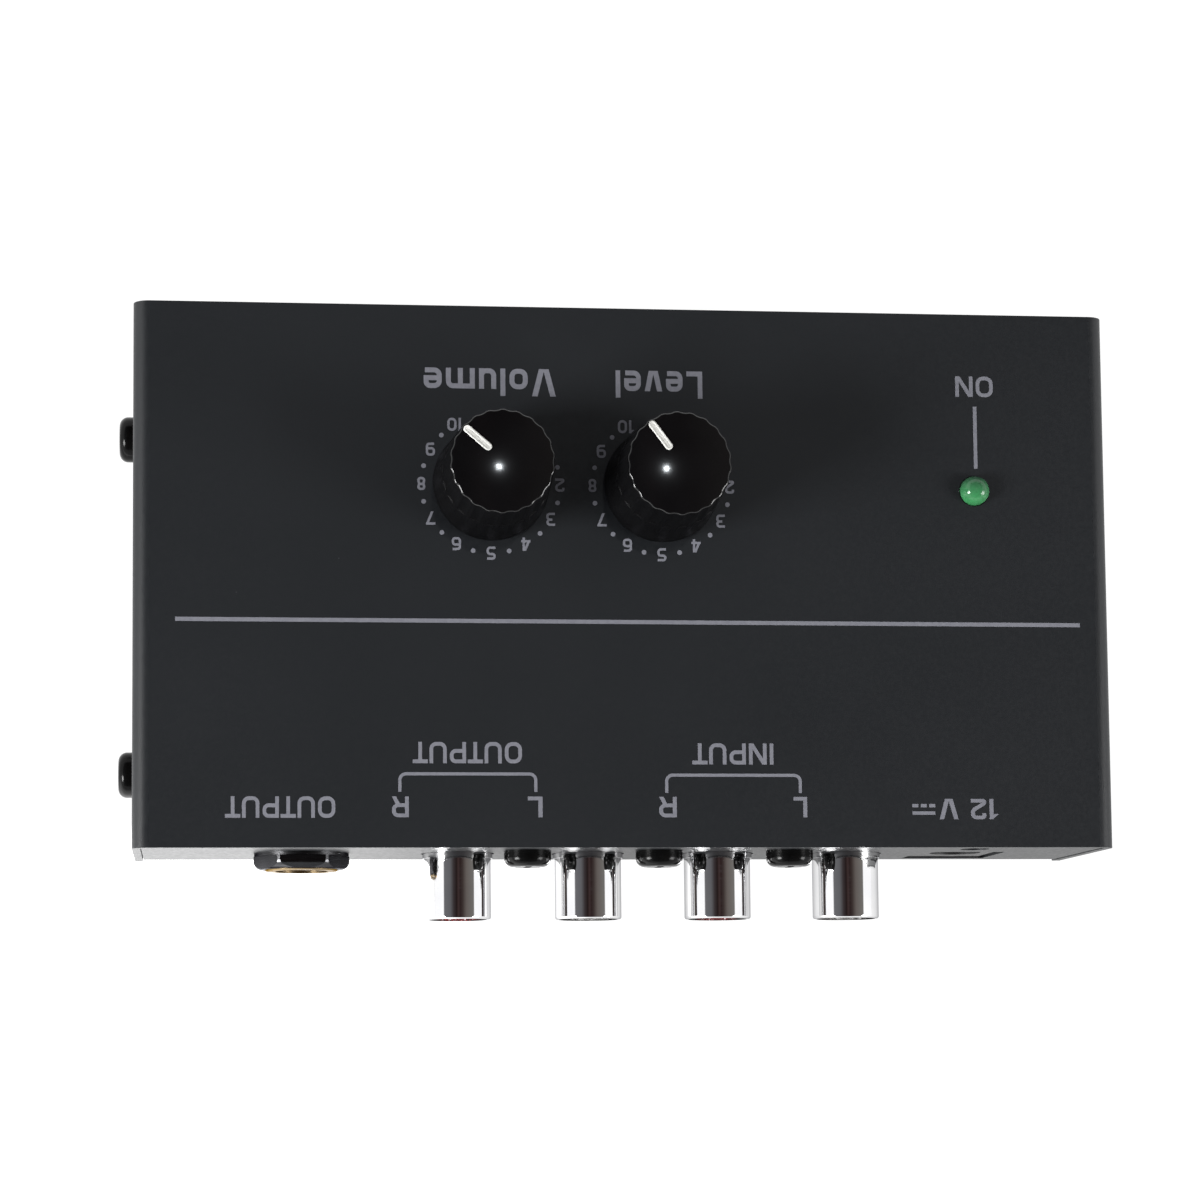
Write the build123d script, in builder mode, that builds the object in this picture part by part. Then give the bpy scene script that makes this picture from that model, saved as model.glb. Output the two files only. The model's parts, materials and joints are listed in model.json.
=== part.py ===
from build123d import *
import os

# Phono preamp in a two-shell sheet-metal case: two knobs and a lamp on top, sockets at the rear.
# X is to the right as seen from the front, Y runs from front to rear and Z is up.
# The origin is under the middle of the whole outline, on the surface that the rubber feet stand on.

# ---------------------------------------------------------------- driving dimensions, millimetres

# case
case_width = 120.0
case_depth = 66.2
case_height = 25.7
sheet = 1.0
cover_inner_bend = 1.0
chassis_inner_bend = 0.5
panel_recess = 0.1
shell_gap = 0.1
flange_height = 11.0
relief_width = 1.6
relief_depth = 2.6

# feet
foot_radius = 4.75
foot_tip_radius = 4.3
foot_edge_radius = 0.4
foot_height = 2.5
foot_inset_x = 9.0
foot_inset_y = 8.5

# screws that hold the cover to the chassis
screw_radius = 1.45
thread_clearance = 0.08
screw_hole_clearance = 0.2
cover_screw_head_radius = 2.85
cover_screw_head_height = 2.0
cover_screw_length = 6.0
cover_screw_height = 6.5
front_cover_screw_inset = 13.3
rear_cover_screw_inset = 10.4
screw_head_round = 1.1
cross_length = 3.0
cross_width = 0.8
cross_depth = 1.2

# circuit board
board_thickness = 1.6
board_corner_radius = 1.5
board_side_gap = 2.9
board_front_gap = 3.0
board_rear_gap = 0.5
standoff_height = 1.8
standoff_radius = 2.75
board_screw_head_radius = 2.6
board_screw_head_height = 1.7
screw_end_gap = 0.2
board_screw_side_inset = 5.0
front_board_screw_inset = 4.7
rear_board_screw_inset = 34.0
pin_radius = 0.4
pin_clearance = 0.1
pin_below_board = 1.0
lead_radius = 0.3
tail_radius = 0.5
tail_overhang = 1.4
leaf_thickness = 0.4
slot_clearance = 0.1

# volume and level controls
volume_x = 16.85
level_x = -4.05
control_from_front = 22.0
knob_gap = 0.8
knob_height = 14.7
knob_base_radius = 7.1
knob_top_radius = 6.2
knob_dome = 0.5
knob_rim_chamfer = 0.25
knob_wall = 1.4
knob_hollow_depth = 8.6
knob_boss_radius = 4.5
flute_count = 22
flute_radius = 2.0
flute_depth = 0.2
flute_length = 6.6
pointer_width = 0.9
pointer_inner_radius = 2.5
pointer_outer_radius = 6.0
pointer_depth = 0.7
pointer_rise = 0.2
pointer_edge_radius = 0.12
volume_pointer_turn = 131.8
level_pointer_turn = 144.6

# potentiometers
pot_width = 9.8
pot_depth = 12.0
pot_height = 8.0
pot_floor = 1.2
pot_cavity_radius = 4.3
shaft_radius = 3.0
shaft_length = 30.0
shaft_flat_depth = 1.5
shaft_flat_length = 9.0
shaft_end_gap = 0.3
shaft_collar_radius = 3.9
shaft_collar_height = 1.2
running_clearance = 0.05
press_clearance = 0.02
axial_clearance = 0.2
bushing_plate = 0.8
bushing_radius = 3.6
bushing_height = 5.0
element_thickness = 0.8
wiper_height = 2.0
wiper_lift = 0.5
wiper_pad_radius = 0.35
wiper_pad_gap = 0.1
element_hole_radius = 1.5
pot_corner_radius = 0.6
shaft_hole_radius = 3.8
pot_pin_spacing_x = 2.5
pot_pin_spacing_y = 6.0

# power lamp
lamp_x = -43.1
lamp_from_front = 22.15
lamp_radius = 1.8
lamp_flange_radius = 2.2
lamp_flange_height = 1.0
lamp_length = 5.3
lamp_rise = 2.0
lamp_hole_clearance = 0.1
lamp_spacer_radius = 2.4
lamp_lead_pitch = 2.54

# phono socket block
rca_row_x = -4.4
rca_count = 4
rca_pitch = 16.3
rca_axis_height = 12.5
rca_reach = 8.1
rca_shell_radius = 4.15
rca_shell_wall = 0.5
rca_rim_radius = 0.3
rca_collar_radius = 4.35
rca_collar_reach = 0.6
rca_panel_clearance = 0.2
rca_seat_depth = 4.0
rca_block_depth = 12.0
rca_block_margin = 7.2
rca_block_top = 5.0
rca_insulator_recess = 1.2
rca_insulator_hole_radius = 1.95
rca_contact_radius = 2.1
rca_contact_bore_radius = 1.65
rca_contact_length = 9.5
rca_lip = 1.0
rca_lug_width = 1.6
rca_lug_thickness = 0.5
rca_slit = 0.4
rca_slit_length = 6.0

# rear screws between the phono sockets
rear_screw_rise = 5.7
rear_screw_head_radius = 2.9
rear_screw_head_height = 2.0
rear_screw_length = 8.0
rear_screw_boss_radius = 3.4

# quarter-inch jack
jack_block_gap = 4.15
jack_axis_height = 12.95
jack_bore_radius = 3.25
jack_thread_radius = 4.5
jack_body_width = 16.0
jack_body_rise = 7.4
jack_body_length = 29.0
jack_front_wall = 7.0
jack_rear_wall = 2.0
jack_cavity_radius = 5.5
jack_flange_radius = 5.2
jack_flange = 1.0
jack_washer_radius = 5.85
jack_washer = 0.4
jack_nut_across_flats = 10.4
jack_nut = 1.6
jack_lip = 0.2
jack_edge = 0.15
jack_nut_blank_radius = 5.9
jack_nut_round = 1.0
jack_body_corner = 1.0
jack_leaf_offset = 4.2
jack_leaf_height = 2.4
jack_leaf_length = 14.0
jack_leaf_gap = 0.6
jack_leaf_bump = 0.7
jack_leg_width = 1.6
jack_sleeve_width = 3.0
jack_sleeve_drop = 3.8

# power socket
dc_block_gap = 2.75
dc_axis_height = 10.8
dc_body_width = 9.2
dc_body_length = 14.2
dc_body_rise = 4.4
dc_face_recess = 0.2
dc_body_corner = 0.6
dc_bore_radius = 3.2
dc_bore_depth = 9.5
dc_pin_radius = 1.0
dc_pin_tip_radius = 0.5
dc_pin_length = 8.6
dc_cutout_width = 10.6
dc_cutout_clearance = 0.5
dc_pin_seat = 2.0
dc_leaf_width = 2.0
dc_leaf_length = 7.0
spare_hole_offset = -0.1
spare_hole_radius = 1.8
spare_hole_drop = 5.0

# parts on the board
op_amp_length = 9.4
op_amp_width = 6.4
op_amp_height = 3.4
op_amp_lift = 0.5
op_amp_row_spacing = 7.62
op_amp_pins_per_row = 4
op_amp_pin_pitch = 2.54
op_amp_pin_thickness = 0.3
op_amp_pin_width = 0.5
op_amp_bevel = 0.4
op_amp_notch = 0.8
op_amp_x = [-20.0, 6.4]
op_amp_from_rear = 28.2
bulk_can_radius = 4.0
bulk_can_height = 11.5
bulk_can_pitch = 3.5
bulk_can_x = [-45.0, -34.0]
bulk_can_from_rear = 26.2
small_can_radius = 2.5
small_can_height = 11.0
small_can_pitch = 2.0
small_can_count = 6
small_can_spacing = 10.8
small_can_x = -4.0
small_can_from_rear = 19.6
can_groove = 0.25
can_groove_height = 1.2
film_width = 2.6
film_depth = 7.2
film_height = 6.5
film_corner = 0.5
film_pitch = 5.0
film_count = 4
film_spacing = 6.5
film_x = -25.0
film_from_front = 22.0
resistor_radius = 1.15
resistor_waist = 0.95
resistor_length = 6.3
resistor_cap_length = 1.6
resistor_lift = 0.3
axial_lead_run = 1.6
resistor_columns = 6
resistor_rows = 2
resistor_column_spacing = 13.0
resistor_row_spacing = 4.4
resistor_from_front = 10.2
diode_radius = 1.35
diode_length = 5.2
diode_x = -41.0
diode_from_front = 27.0

# ---------------------------------------------------------------- places worked out from them

def row(centre, spacing, count):
    """Evenly spaced places on one line, about its centre."""
    return [centre + spacing * (place - (count - 1) / 2) for place in range(count)]


case_y = -rca_reach / 2
cover_front = case_y - case_depth / 2
cover_rear = case_y + case_depth / 2
front_outer = cover_front + panel_recess
front_inner = front_outer + sheet
rear_outer = cover_rear - panel_recess
rear_inner = rear_outer - sheet

case_bottom = foot_height
case_top = case_bottom + case_height
cover_underside = case_top - sheet
floor_top = case_bottom + sheet
board_underside = floor_top + standoff_height
board_top = board_underside + board_thickness
pin_end = board_underside - pin_below_board
pin_drop = board_top - pin_end

cover_bend_radius = cover_inner_bend + sheet
chassis_bend_radius = chassis_inner_bend + sheet
chassis_half_width = case_width / 2 - sheet - shell_gap
board_half_width = chassis_half_width - sheet - board_side_gap
board_front = front_inner + board_front_gap
board_rear = rear_inner - board_rear_gap
board_depth = board_rear - board_front
board_y = (board_front + board_rear) / 2

control_y = cover_front + control_from_front
lamp_y = cover_front + lamp_from_front
cover_screw_z = case_bottom + cover_screw_height
cover_screw_ys = [cover_front + front_cover_screw_inset, cover_rear - rear_cover_screw_inset]
foot_x = case_width / 2 - foot_inset_x
foot_y = case_depth / 2 - foot_inset_y
board_screw_xs = row(0, 2 * (board_half_width - board_screw_side_inset), 2)
board_screw_ys = [board_front + front_board_screw_inset, board_rear - rear_board_screw_inset]
board_screw_points = [(x, y) for x in board_screw_xs for y in board_screw_ys]
thread_hole_radius = screw_radius + thread_clearance
screw_hole_radius = screw_radius + screw_hole_clearance

rca_z = case_bottom + rca_axis_height
rca_end = cover_rear + rca_reach
rear_screw_z = rca_z + rear_screw_rise
rca_block_half = rca_pitch * (rca_count - 1) / 2 + rca_block_margin
jack_x = rca_row_x + rca_block_half + jack_block_gap + jack_body_width / 2
jack_z = case_bottom + jack_axis_height
dc_x = rca_row_x - rca_block_half - dc_block_gap - dc_body_width / 2
dc_z = case_bottom + dc_axis_height
dc_face = rear_outer - dc_face_recess
spare_hole_x = dc_x + spare_hole_offset
board_hole_radius = pin_radius + pin_clearance


def facing_front(y):
    """Plane at depth y that faces the front: its own x is X and its own y is Z."""
    return Plane.XZ.offset(-y)


def slot_size(width, thickness):
    """Sides of the slot that a flat tab of this width and thickness passes through."""
    return width + 2 * slot_clearance, thickness + 2 * slot_clearance


def finish(piece, name):
    """Label one piece and write its STEP file."""
    piece.part.label = name
    export_step(piece.part, "parts/" + name + ".step")


os.makedirs("parts", exist_ok=True)

# places of the pins that go through the board
lamp_lead_points = [(x, lamp_y) for x in row(lamp_x, lamp_lead_pitch, 2)]
rca_xs = row(rca_row_x, rca_pitch, rca_count)
rca_back = rear_inner - rca_seat_depth
rca_tail_y = rear_inner - rca_block_depth - tail_overhang
rca_lug_y = rca_back + rca_lug_thickness / 2
rca_tail_points = [(x, rca_tail_y) for x in rca_xs]
rca_lug_points = [(x, rca_lug_y) for x in rca_xs]
rear_screw_places = [(x, rear_screw_z) for x in row(rca_row_x, rca_pitch, rca_count - 1)]
jack_flange_y = rear_inner - jack_front_wall
jack_leaf_mouth = jack_flange_y - jack_flange - jack_leaf_gap
jack_leaf_xs = row(jack_x, 2 * jack_leaf_offset, 2)
jack_leg_points = [(x, jack_leaf_mouth - jack_leaf_length + jack_leg_width / 2) for x in jack_leaf_xs]
jack_sleeve_y = jack_flange_y - jack_flange - leaf_thickness / 2
dc_tail_point = (dc_x, dc_face - dc_body_length - tail_overhang)
dc_leaf_x = dc_x + dc_bore_radius + leaf_thickness / 2
dc_leaf_mouth = dc_face - dc_bore_depth + dc_leaf_length
dc_leg_point = (dc_leaf_x, dc_face - dc_bore_depth + dc_leaf_width / 2)


def pot_pin_points(x):
    """The six pins of the potentiometer at x."""
    pin_xs = row(x, pot_pin_spacing_x, 3)
    pin_ys = row(control_y, pot_pin_spacing_y, 2)
    return [(pin_x, pin_y) for pin_x in pin_xs for pin_y in pin_ys]


op_amp_y = cover_rear - op_amp_from_rear
op_amp_pin_xs = row(0, op_amp_pin_pitch, op_amp_pins_per_row)
op_amp_pin_ys = row(op_amp_y, op_amp_row_spacing, 2)
op_amp_pin_points = [(x + dx, y) for x in op_amp_x for dx in op_amp_pin_xs for y in op_amp_pin_ys]
bulk_can_y = cover_rear - bulk_can_from_rear
small_can_y = cover_rear - small_can_from_rear
film_y = cover_front + film_from_front
bulk_pin_points = [(x, bulk_can_y) for can_x in bulk_can_x for x in row(can_x, bulk_can_pitch, 2)]
small_can_xs = row(small_can_x, small_can_spacing, small_can_count)
small_pin_points = [(x, small_can_y) for can_x in small_can_xs for x in row(can_x, small_can_pitch, 2)]
film_xs = row(film_x, film_spacing, film_count)
film_pin_points = [(x, y) for x in film_xs for y in row(film_y, film_pitch, 2)]
can_pin_points = bulk_pin_points + small_pin_points + film_pin_points
resistor_xs = row(0, resistor_column_spacing, resistor_columns)
resistor_ys = row(cover_front + resistor_from_front, resistor_row_spacing, resistor_rows)
resistor_points = [(x, y) for x in resistor_xs for y in resistor_ys]
diode_point = (diode_x, cover_front + diode_from_front)


def axial_holes(point, body_length):
    """The two board holes of a part that lies along X with its leads bent down at both ends."""
    return [(x, point[1]) for x in row(point[0], body_length + 2 * axial_lead_run, 2)]


axial_pin_points = axial_holes(diode_point, diode_length)
for resistor_point in resistor_points:
    axial_pin_points += axial_holes(resistor_point, resistor_length)

# ---------------------------------------------------------------- case

with BuildPart() as top_cover:
    with BuildSketch(facing_front(cover_rear)) as cover_section:
        with Locations((0, case_bottom + case_height / 2)):
            Rectangle(case_width, case_height)
        fillet(cover_section.vertices().group_by(Axis.Y)[-1], radius=cover_bend_radius)
    extrude(amount=case_depth)
    with BuildSketch(facing_front(cover_rear)) as cover_hollow:
        with Locations((0, case_bottom + (case_height - sheet) / 2)):
            Rectangle(case_width - 2 * sheet, case_height - sheet)
        fillet(cover_hollow.vertices().group_by(Axis.Y)[-1], radius=cover_inner_bend)
    extrude(amount=case_depth, mode=Mode.SUBTRACT)
    with BuildSketch(Plane.XY.offset(case_top)):
        with Locations((volume_x, control_y), (level_x, control_y)):
            Circle(shaft_hole_radius)
        with Locations((lamp_x, lamp_y)):
            Circle(lamp_radius + lamp_hole_clearance)
    extrude(amount=-sheet, mode=Mode.SUBTRACT)
    with BuildSketch(Plane.YZ):
        with Locations(*[(y, cover_screw_z) for y in cover_screw_ys]):
            Circle(screw_hole_radius)
    extrude(amount=case_width / 2, both=True, mode=Mode.SUBTRACT)
finish(top_cover, "top_cover")

chassis_depth = rear_outer - front_outer
chassis_height = cover_underside - shell_gap - case_bottom
flange_front = front_inner + relief_width
flange_rear = rear_inner - relief_width
with BuildPart() as bottom_chassis:
    with BuildSketch(Plane.YZ) as chassis_section:
        with Locations((case_y, case_bottom + chassis_height / 2)):
            Rectangle(chassis_depth, chassis_height)
        fillet(chassis_section.vertices().group_by(Axis.Y)[0], radius=chassis_bend_radius)
    extrude(amount=chassis_half_width, both=True)
    with BuildSketch(Plane.YZ) as chassis_hollow:
        with Locations((case_y, floor_top + chassis_height / 2)):
            Rectangle(chassis_depth - 2 * sheet, chassis_height)
        fillet(chassis_hollow.vertices().group_by(Axis.Y)[0], radius=chassis_inner_bend)
    extrude(amount=chassis_half_width, both=True, mode=Mode.SUBTRACT)
    # the front and rear panels follow the inside of the cover's bends
    panel_corners = bottom_chassis.edges().filter_by(Axis.Y).group_by(Axis.Z)[-1]
    fillet(panel_corners, radius=cover_inner_bend - shell_gap)
    # side flanges that take the cover's screws, each between two bend reliefs
    with BuildSketch(Plane.XY.offset(case_bottom)):
        with Locations((0, (flange_front + flange_rear) / 2)):
            Rectangle(2 * chassis_half_width, flange_rear - flange_front)
            Rectangle(2 * (chassis_half_width - sheet), flange_rear - flange_front, mode=Mode.SUBTRACT)
    extrude(amount=flange_height)
    with BuildSketch(Plane.XY.offset(case_bottom)):
        for relief_y in (flange_front - relief_width / 2, flange_rear + relief_width / 2):
            with Locations((-chassis_half_width, relief_y), (chassis_half_width, relief_y)):
                Rectangle(2 * relief_depth, relief_width)
    extrude(amount=chassis_bend_radius, mode=Mode.SUBTRACT)
    flange_edges = bottom_chassis.edges().filter_by(Axis.Y).filter_by(lambda e: e.length > case_depth / 2)
    fillet(flange_edges.group_by(Axis.Z)[0], radius=chassis_bend_radius)
    # rear panel openings
    with BuildSketch(facing_front(rear_outer)):
        with Locations(*[(x, rca_z) for x in rca_xs]):
            Circle(rca_collar_radius + rca_panel_clearance)
        with Locations(*rear_screw_places):
            Circle(screw_hole_radius)
        with Locations((jack_x, jack_z)):
            Circle(jack_thread_radius + running_clearance)
        with Locations((dc_x, (board_top + dc_z + dc_body_rise) / 2)):
            Rectangle(dc_cutout_width, dc_z + dc_body_rise - board_top + 2 * dc_cutout_clearance)
        with Locations((spare_hole_x, case_top - spare_hole_drop)):
            Circle(spare_hole_radius)
    extrude(amount=sheet, mode=Mode.SUBTRACT)
    # threaded holes for the cover's screws and for the board's screws
    with BuildSketch(Plane.YZ):
        with Locations(*[(y, cover_screw_z) for y in cover_screw_ys]):
            Circle(thread_hole_radius)
    extrude(amount=chassis_half_width, both=True, mode=Mode.SUBTRACT)
    with BuildSketch(Plane.XY.offset(case_bottom)):
        with Locations(*board_screw_points):
            Circle(thread_hole_radius)
    extrude(amount=sheet, mode=Mode.SUBTRACT)
finish(bottom_chassis, "bottom_chassis")

with BuildPart() as rubber_feet:
    with Locations((0, case_y)):
        with GridLocations(2 * foot_x, 2 * foot_y, 2, 2):
            Cone(foot_tip_radius, foot_radius, foot_height, align=(Align.CENTER, Align.CENTER, Align.MIN))
    fillet(rubber_feet.edges().group_by(Axis.Z)[0], radius=foot_edge_radius)
finish(rubber_feet, "rubber_feet")


def pan_head_screw(head_radius, head_height, shank_length):
    """One cross-head screw that points down, with the seat of its head at the origin."""
    head_rim = head_height - screw_head_round
    flat_radius = head_radius - screw_head_round
    with BuildPart() as screw:
        with BuildSketch(Plane.XZ):
            with BuildLine():
                Polyline(
                    (flat_radius, head_height),
                    (0, head_height),
                    (0, -shank_length),
                    (screw_radius, -shank_length),
                    (screw_radius, 0),
                    (head_radius, 0),
                    (head_radius, head_rim),
                )
                TangentArc((head_radius, head_rim), (flat_radius, head_height), tangent=(0, 1))
            make_face()
        revolve(axis=Axis.Z)
        with BuildSketch(Plane.XY.offset(head_height)):
            Rectangle(cross_length, cross_width)
            Rectangle(cross_width, cross_length)
        extrude(amount=-cross_depth, mode=Mode.SUBTRACT)
    return screw.part


cover_screw = pan_head_screw(cover_screw_head_radius, cover_screw_head_height, cover_screw_length)
with BuildPart() as cover_screws:
    for y in cover_screw_ys:
        with Locations(Location((case_width / 2, y, cover_screw_z), (0, 90, 0))):
            add(cover_screw)
        with Locations(Location((-case_width / 2, y, cover_screw_z), (0, -90, 0))):
            add(cover_screw)
finish(cover_screws, "cover_screws")

# ---------------------------------------------------------------- circuit board

with BuildPart() as circuit_board:
    with BuildSketch(Plane.XY.offset(board_underside)):
        with Locations((0, board_y)):
            RectangleRounded(2 * board_half_width, board_depth, board_corner_radius)
        with Locations(*board_screw_points):
            Circle(screw_hole_radius, mode=Mode.SUBTRACT)
        with Locations(*lamp_lead_points, *pot_pin_points(volume_x), *pot_pin_points(level_x)):
            Circle(board_hole_radius, mode=Mode.SUBTRACT)
        with Locations(*op_amp_pin_points, *can_pin_points, *axial_pin_points):
            Circle(board_hole_radius, mode=Mode.SUBTRACT)
        with Locations(*rca_tail_points, dc_tail_point):
            Circle(tail_radius + pin_clearance, mode=Mode.SUBTRACT)
        with Locations(*rca_lug_points):
            Rectangle(*slot_size(rca_lug_width, rca_lug_thickness), mode=Mode.SUBTRACT)
        with Locations(*jack_leg_points):
            Rectangle(*slot_size(leaf_thickness, jack_leg_width), mode=Mode.SUBTRACT)
        with Locations((jack_x, jack_sleeve_y)):
            Rectangle(*slot_size(jack_sleeve_width, leaf_thickness), mode=Mode.SUBTRACT)
        with Locations(dc_leg_point):
            Rectangle(*slot_size(leaf_thickness, dc_leaf_width), mode=Mode.SUBTRACT)
    extrude(amount=board_thickness)
finish(circuit_board, "circuit_board")

with BuildPart() as board_standoffs:
    with BuildSketch(Plane.XY.offset(floor_top)):
        with Locations(*board_screw_points):
            Circle(standoff_radius)
            Circle(screw_hole_radius, mode=Mode.SUBTRACT)
    extrude(amount=standoff_height)
finish(board_standoffs, "board_standoffs")

board_screw_length = board_thickness + standoff_height + sheet - screw_end_gap
board_screw = pan_head_screw(board_screw_head_radius, board_screw_head_height, board_screw_length)
with BuildPart() as board_screws:
    with Locations(*[(x, y, board_top) for x, y in board_screw_points]):
        add(board_screw)
finish(board_screws, "board_screws")


def bent_lead(radius, run, drop):
    """A round lead that leaves the origin towards the front and then bends down."""
    with BuildPart() as lead:
        with BuildLine() as route:
            FilletPolyline((0, 0, 0), (0, -run, 0), (0, -run, -drop), radius=2 * radius)
        with BuildSketch(Plane.XZ):
            Circle(radius)
        sweep(path=route.wires()[0])
    return lead.part


def leaf_contact(x, mouth_y, z, arm, leg_width, clearance=0.0):
    """A flat leaf across X, whose leg goes down through the board and whose arm runs to mouth_y.

    The arm is given as (length, height). A clearance makes the slot that the leaf lies in.
    """
    length, height = arm
    leg_y = mouth_y - length + leg_width / 2
    with BuildPart() as leaf:
        with BuildSketch(Plane.YZ.offset(x - leaf_thickness / 2 - clearance)):
            with Locations((mouth_y - length / 2, z)):
                Rectangle(length + 2 * clearance, height + 2 * clearance)
            with Locations((leg_y, (z + pin_end) / 2)):
                Rectangle(leg_width + 2 * clearance, z - pin_end)
        extrude(amount=leaf_thickness + 2 * clearance)
    return leaf.part


# ---------------------------------------------------------------- power lamp

lamp_top = case_top + lamp_rise
lamp_base = lamp_top - lamp_length
with BuildPart() as lamp_lens:
    with BuildSketch(Plane.XY.offset(lamp_base)):
        with Locations((lamp_x, lamp_y)):
            Circle(lamp_flange_radius)
    extrude(amount=lamp_flange_height)
    with BuildSketch(Plane.XY.offset(lamp_base)):
        with Locations((lamp_x, lamp_y)):
            Circle(lamp_radius)
    extrude(amount=lamp_length - lamp_radius)
    with Locations((lamp_x, lamp_y, lamp_top - lamp_radius)):
        Sphere(lamp_radius)
finish(lamp_lens, "lamp_lens")

with BuildPart() as lamp_leads:
    with BuildSketch(Plane.XY.offset(pin_end)):
        with Locations(*lamp_lead_points):
            Circle(lead_radius)
    extrude(amount=lamp_base - pin_end)
finish(lamp_leads, "lamp_leads")

with BuildPart() as lamp_spacer:
    with BuildSketch(Plane.XY.offset(board_top)):
        with Locations((lamp_x, lamp_y)):
            Circle(lamp_spacer_radius)
        with Locations(*lamp_lead_points):
            Circle(lead_radius + pin_clearance, mode=Mode.SUBTRACT)
    extrude(amount=lamp_base - board_top)
finish(lamp_spacer, "lamp_spacer")

# ---------------------------------------------------------------- potentiometers and knobs

pot_top = board_top + pot_height
element_bottom = board_top + pot_floor
element_top = element_bottom + element_thickness
shaft_top = board_top + shaft_length
knob_bottom = case_top + knob_gap
knob_rim = knob_height - knob_dome
flat_offset = shaft_radius - shaft_flat_depth


def make_potentiometer(name, x, turn):
    """The pieces of one potentiometer, with the flat of its shaft turned clockwise from +Y."""
    with BuildPart() as housing:
        with BuildSketch(Plane.XY.offset(board_top)):
            with Locations((x, control_y)):
                RectangleRounded(pot_width, pot_depth, pot_corner_radius)
        extrude(amount=pot_height)
        with BuildSketch(Plane.XY.offset(element_bottom)):
            with Locations((x, control_y)):
                Circle(pot_cavity_radius)
        extrude(amount=pot_height, mode=Mode.SUBTRACT)
        with BuildSketch(Plane.XY.offset(board_top)):
            with Locations(*pot_pin_points(x)):
                Circle(board_hole_radius)
        extrude(amount=pot_floor, mode=Mode.SUBTRACT)
    finish(housing, name + "_pot_housing")

    with BuildPart() as terminals:
        with BuildSketch(Plane.XY.offset(pin_end)):
            with Locations(*pot_pin_points(x)):
                Circle(pin_radius)
        extrude(amount=element_bottom - pin_end)
    finish(terminals, name + "_pot_terminals")

    with BuildPart() as element:
        with BuildSketch(Plane.XY.offset(element_bottom)):
            with Locations((x, control_y)):
                Circle(pot_cavity_radius - press_clearance)
                Circle(element_hole_radius, mode=Mode.SUBTRACT)
        extrude(amount=element_thickness)
    finish(element, name + "_pot_element")

    with BuildPart() as bushing:
        with BuildSketch(Plane.XY.offset(pot_top)):
            with Locations((x, control_y)):
                RectangleRounded(pot_width, pot_depth, pot_corner_radius)
        extrude(amount=bushing_plate)
        with BuildSketch(Plane.XY.offset(pot_top)):
            with Locations((x, control_y)):
                Circle(bushing_radius)
        extrude(amount=bushing_plate + bushing_height)
        with BuildSketch(Plane.XY.offset(pot_top)):
            with Locations((x, control_y)):
                Circle(shaft_radius + running_clearance)
        extrude(amount=bushing_plate + bushing_height, mode=Mode.SUBTRACT)
    finish(bushing, name + "_pot_bushing")

    with BuildPart() as wiper:
        with BuildSketch(Plane.XY.offset(element_top + wiper_lift)):
            with Locations((x, control_y)):
                Circle(shaft_collar_radius)
                Circle(shaft_radius + press_clearance, mode=Mode.SUBTRACT)
        extrude(amount=wiper_height)
        with BuildSketch(Plane.XY.offset(element_top + wiper_pad_gap)):
            with Locations((x, control_y)):
                with PolarLocations((shaft_radius + shaft_collar_radius) / 2, 2, start_angle=90 - turn):
                    Circle(wiper_pad_radius)
        extrude(amount=wiper_lift)
    finish(wiper, name + "_pot_wiper")

    with BuildPart() as shaft:
        with BuildSketch(Plane.XY.offset(element_top + axial_clearance)):
            with Locations((x, control_y)):
                Circle(shaft_radius)
        extrude(amount=shaft_top - element_top - axial_clearance)
        with BuildSketch(Plane.XY.offset(pot_top - axial_clearance)):
            with Locations((x, control_y)):
                Circle(shaft_collar_radius)
        extrude(amount=-shaft_collar_height)
        with BuildSketch(Plane.XY.offset(shaft_top)):
            with Locations(Location((x, control_y, 0), (0, 0, -turn))):
                with Locations((0, flat_offset + shaft_radius)):
                    Rectangle(2 * shaft_radius, 2 * shaft_radius)
        extrude(amount=-shaft_flat_length, mode=Mode.SUBTRACT)
    finish(shaft, name + "_pot_shaft")


def knob_radius(height):
    """Outside radius of the knob's cone at a height above its base."""
    return knob_base_radius + (knob_top_radius - knob_base_radius) * height / knob_rim


def flute_cutter():
    """A slanted rod that cuts one flute: full depth at the knob's rim, running out lower down."""
    low = knob_rim - flute_length
    low_point = Vector(0, knob_radius(low) + flute_radius, low)
    rim_point = Vector(0, knob_top_radius + flute_radius - flute_depth, knob_rim)
    along = rim_point - low_point
    overrun = along / 4
    with BuildPart() as cutter:
        with BuildSketch(Plane(origin=low_point - overrun, x_dir=(1, 0, 0), z_dir=along)):
            Circle(flute_radius)
        extrude(amount=along.length + 2 * overrun.length)
    return cutter.part


def dome_section(radius, bottom, rim):
    """Half section of a domed disc: flat underneath at bottom, with its top edge at rim."""
    with BuildSketch(Plane.XZ) as section:
        with BuildLine():
            Polyline((0, rim + knob_dome), (0, bottom), (radius, bottom), (radius, rim))
            TangentArc((0, rim + knob_dome), (radius, rim), tangent=(1, 0))
        make_face()
    return section.sketch


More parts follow.
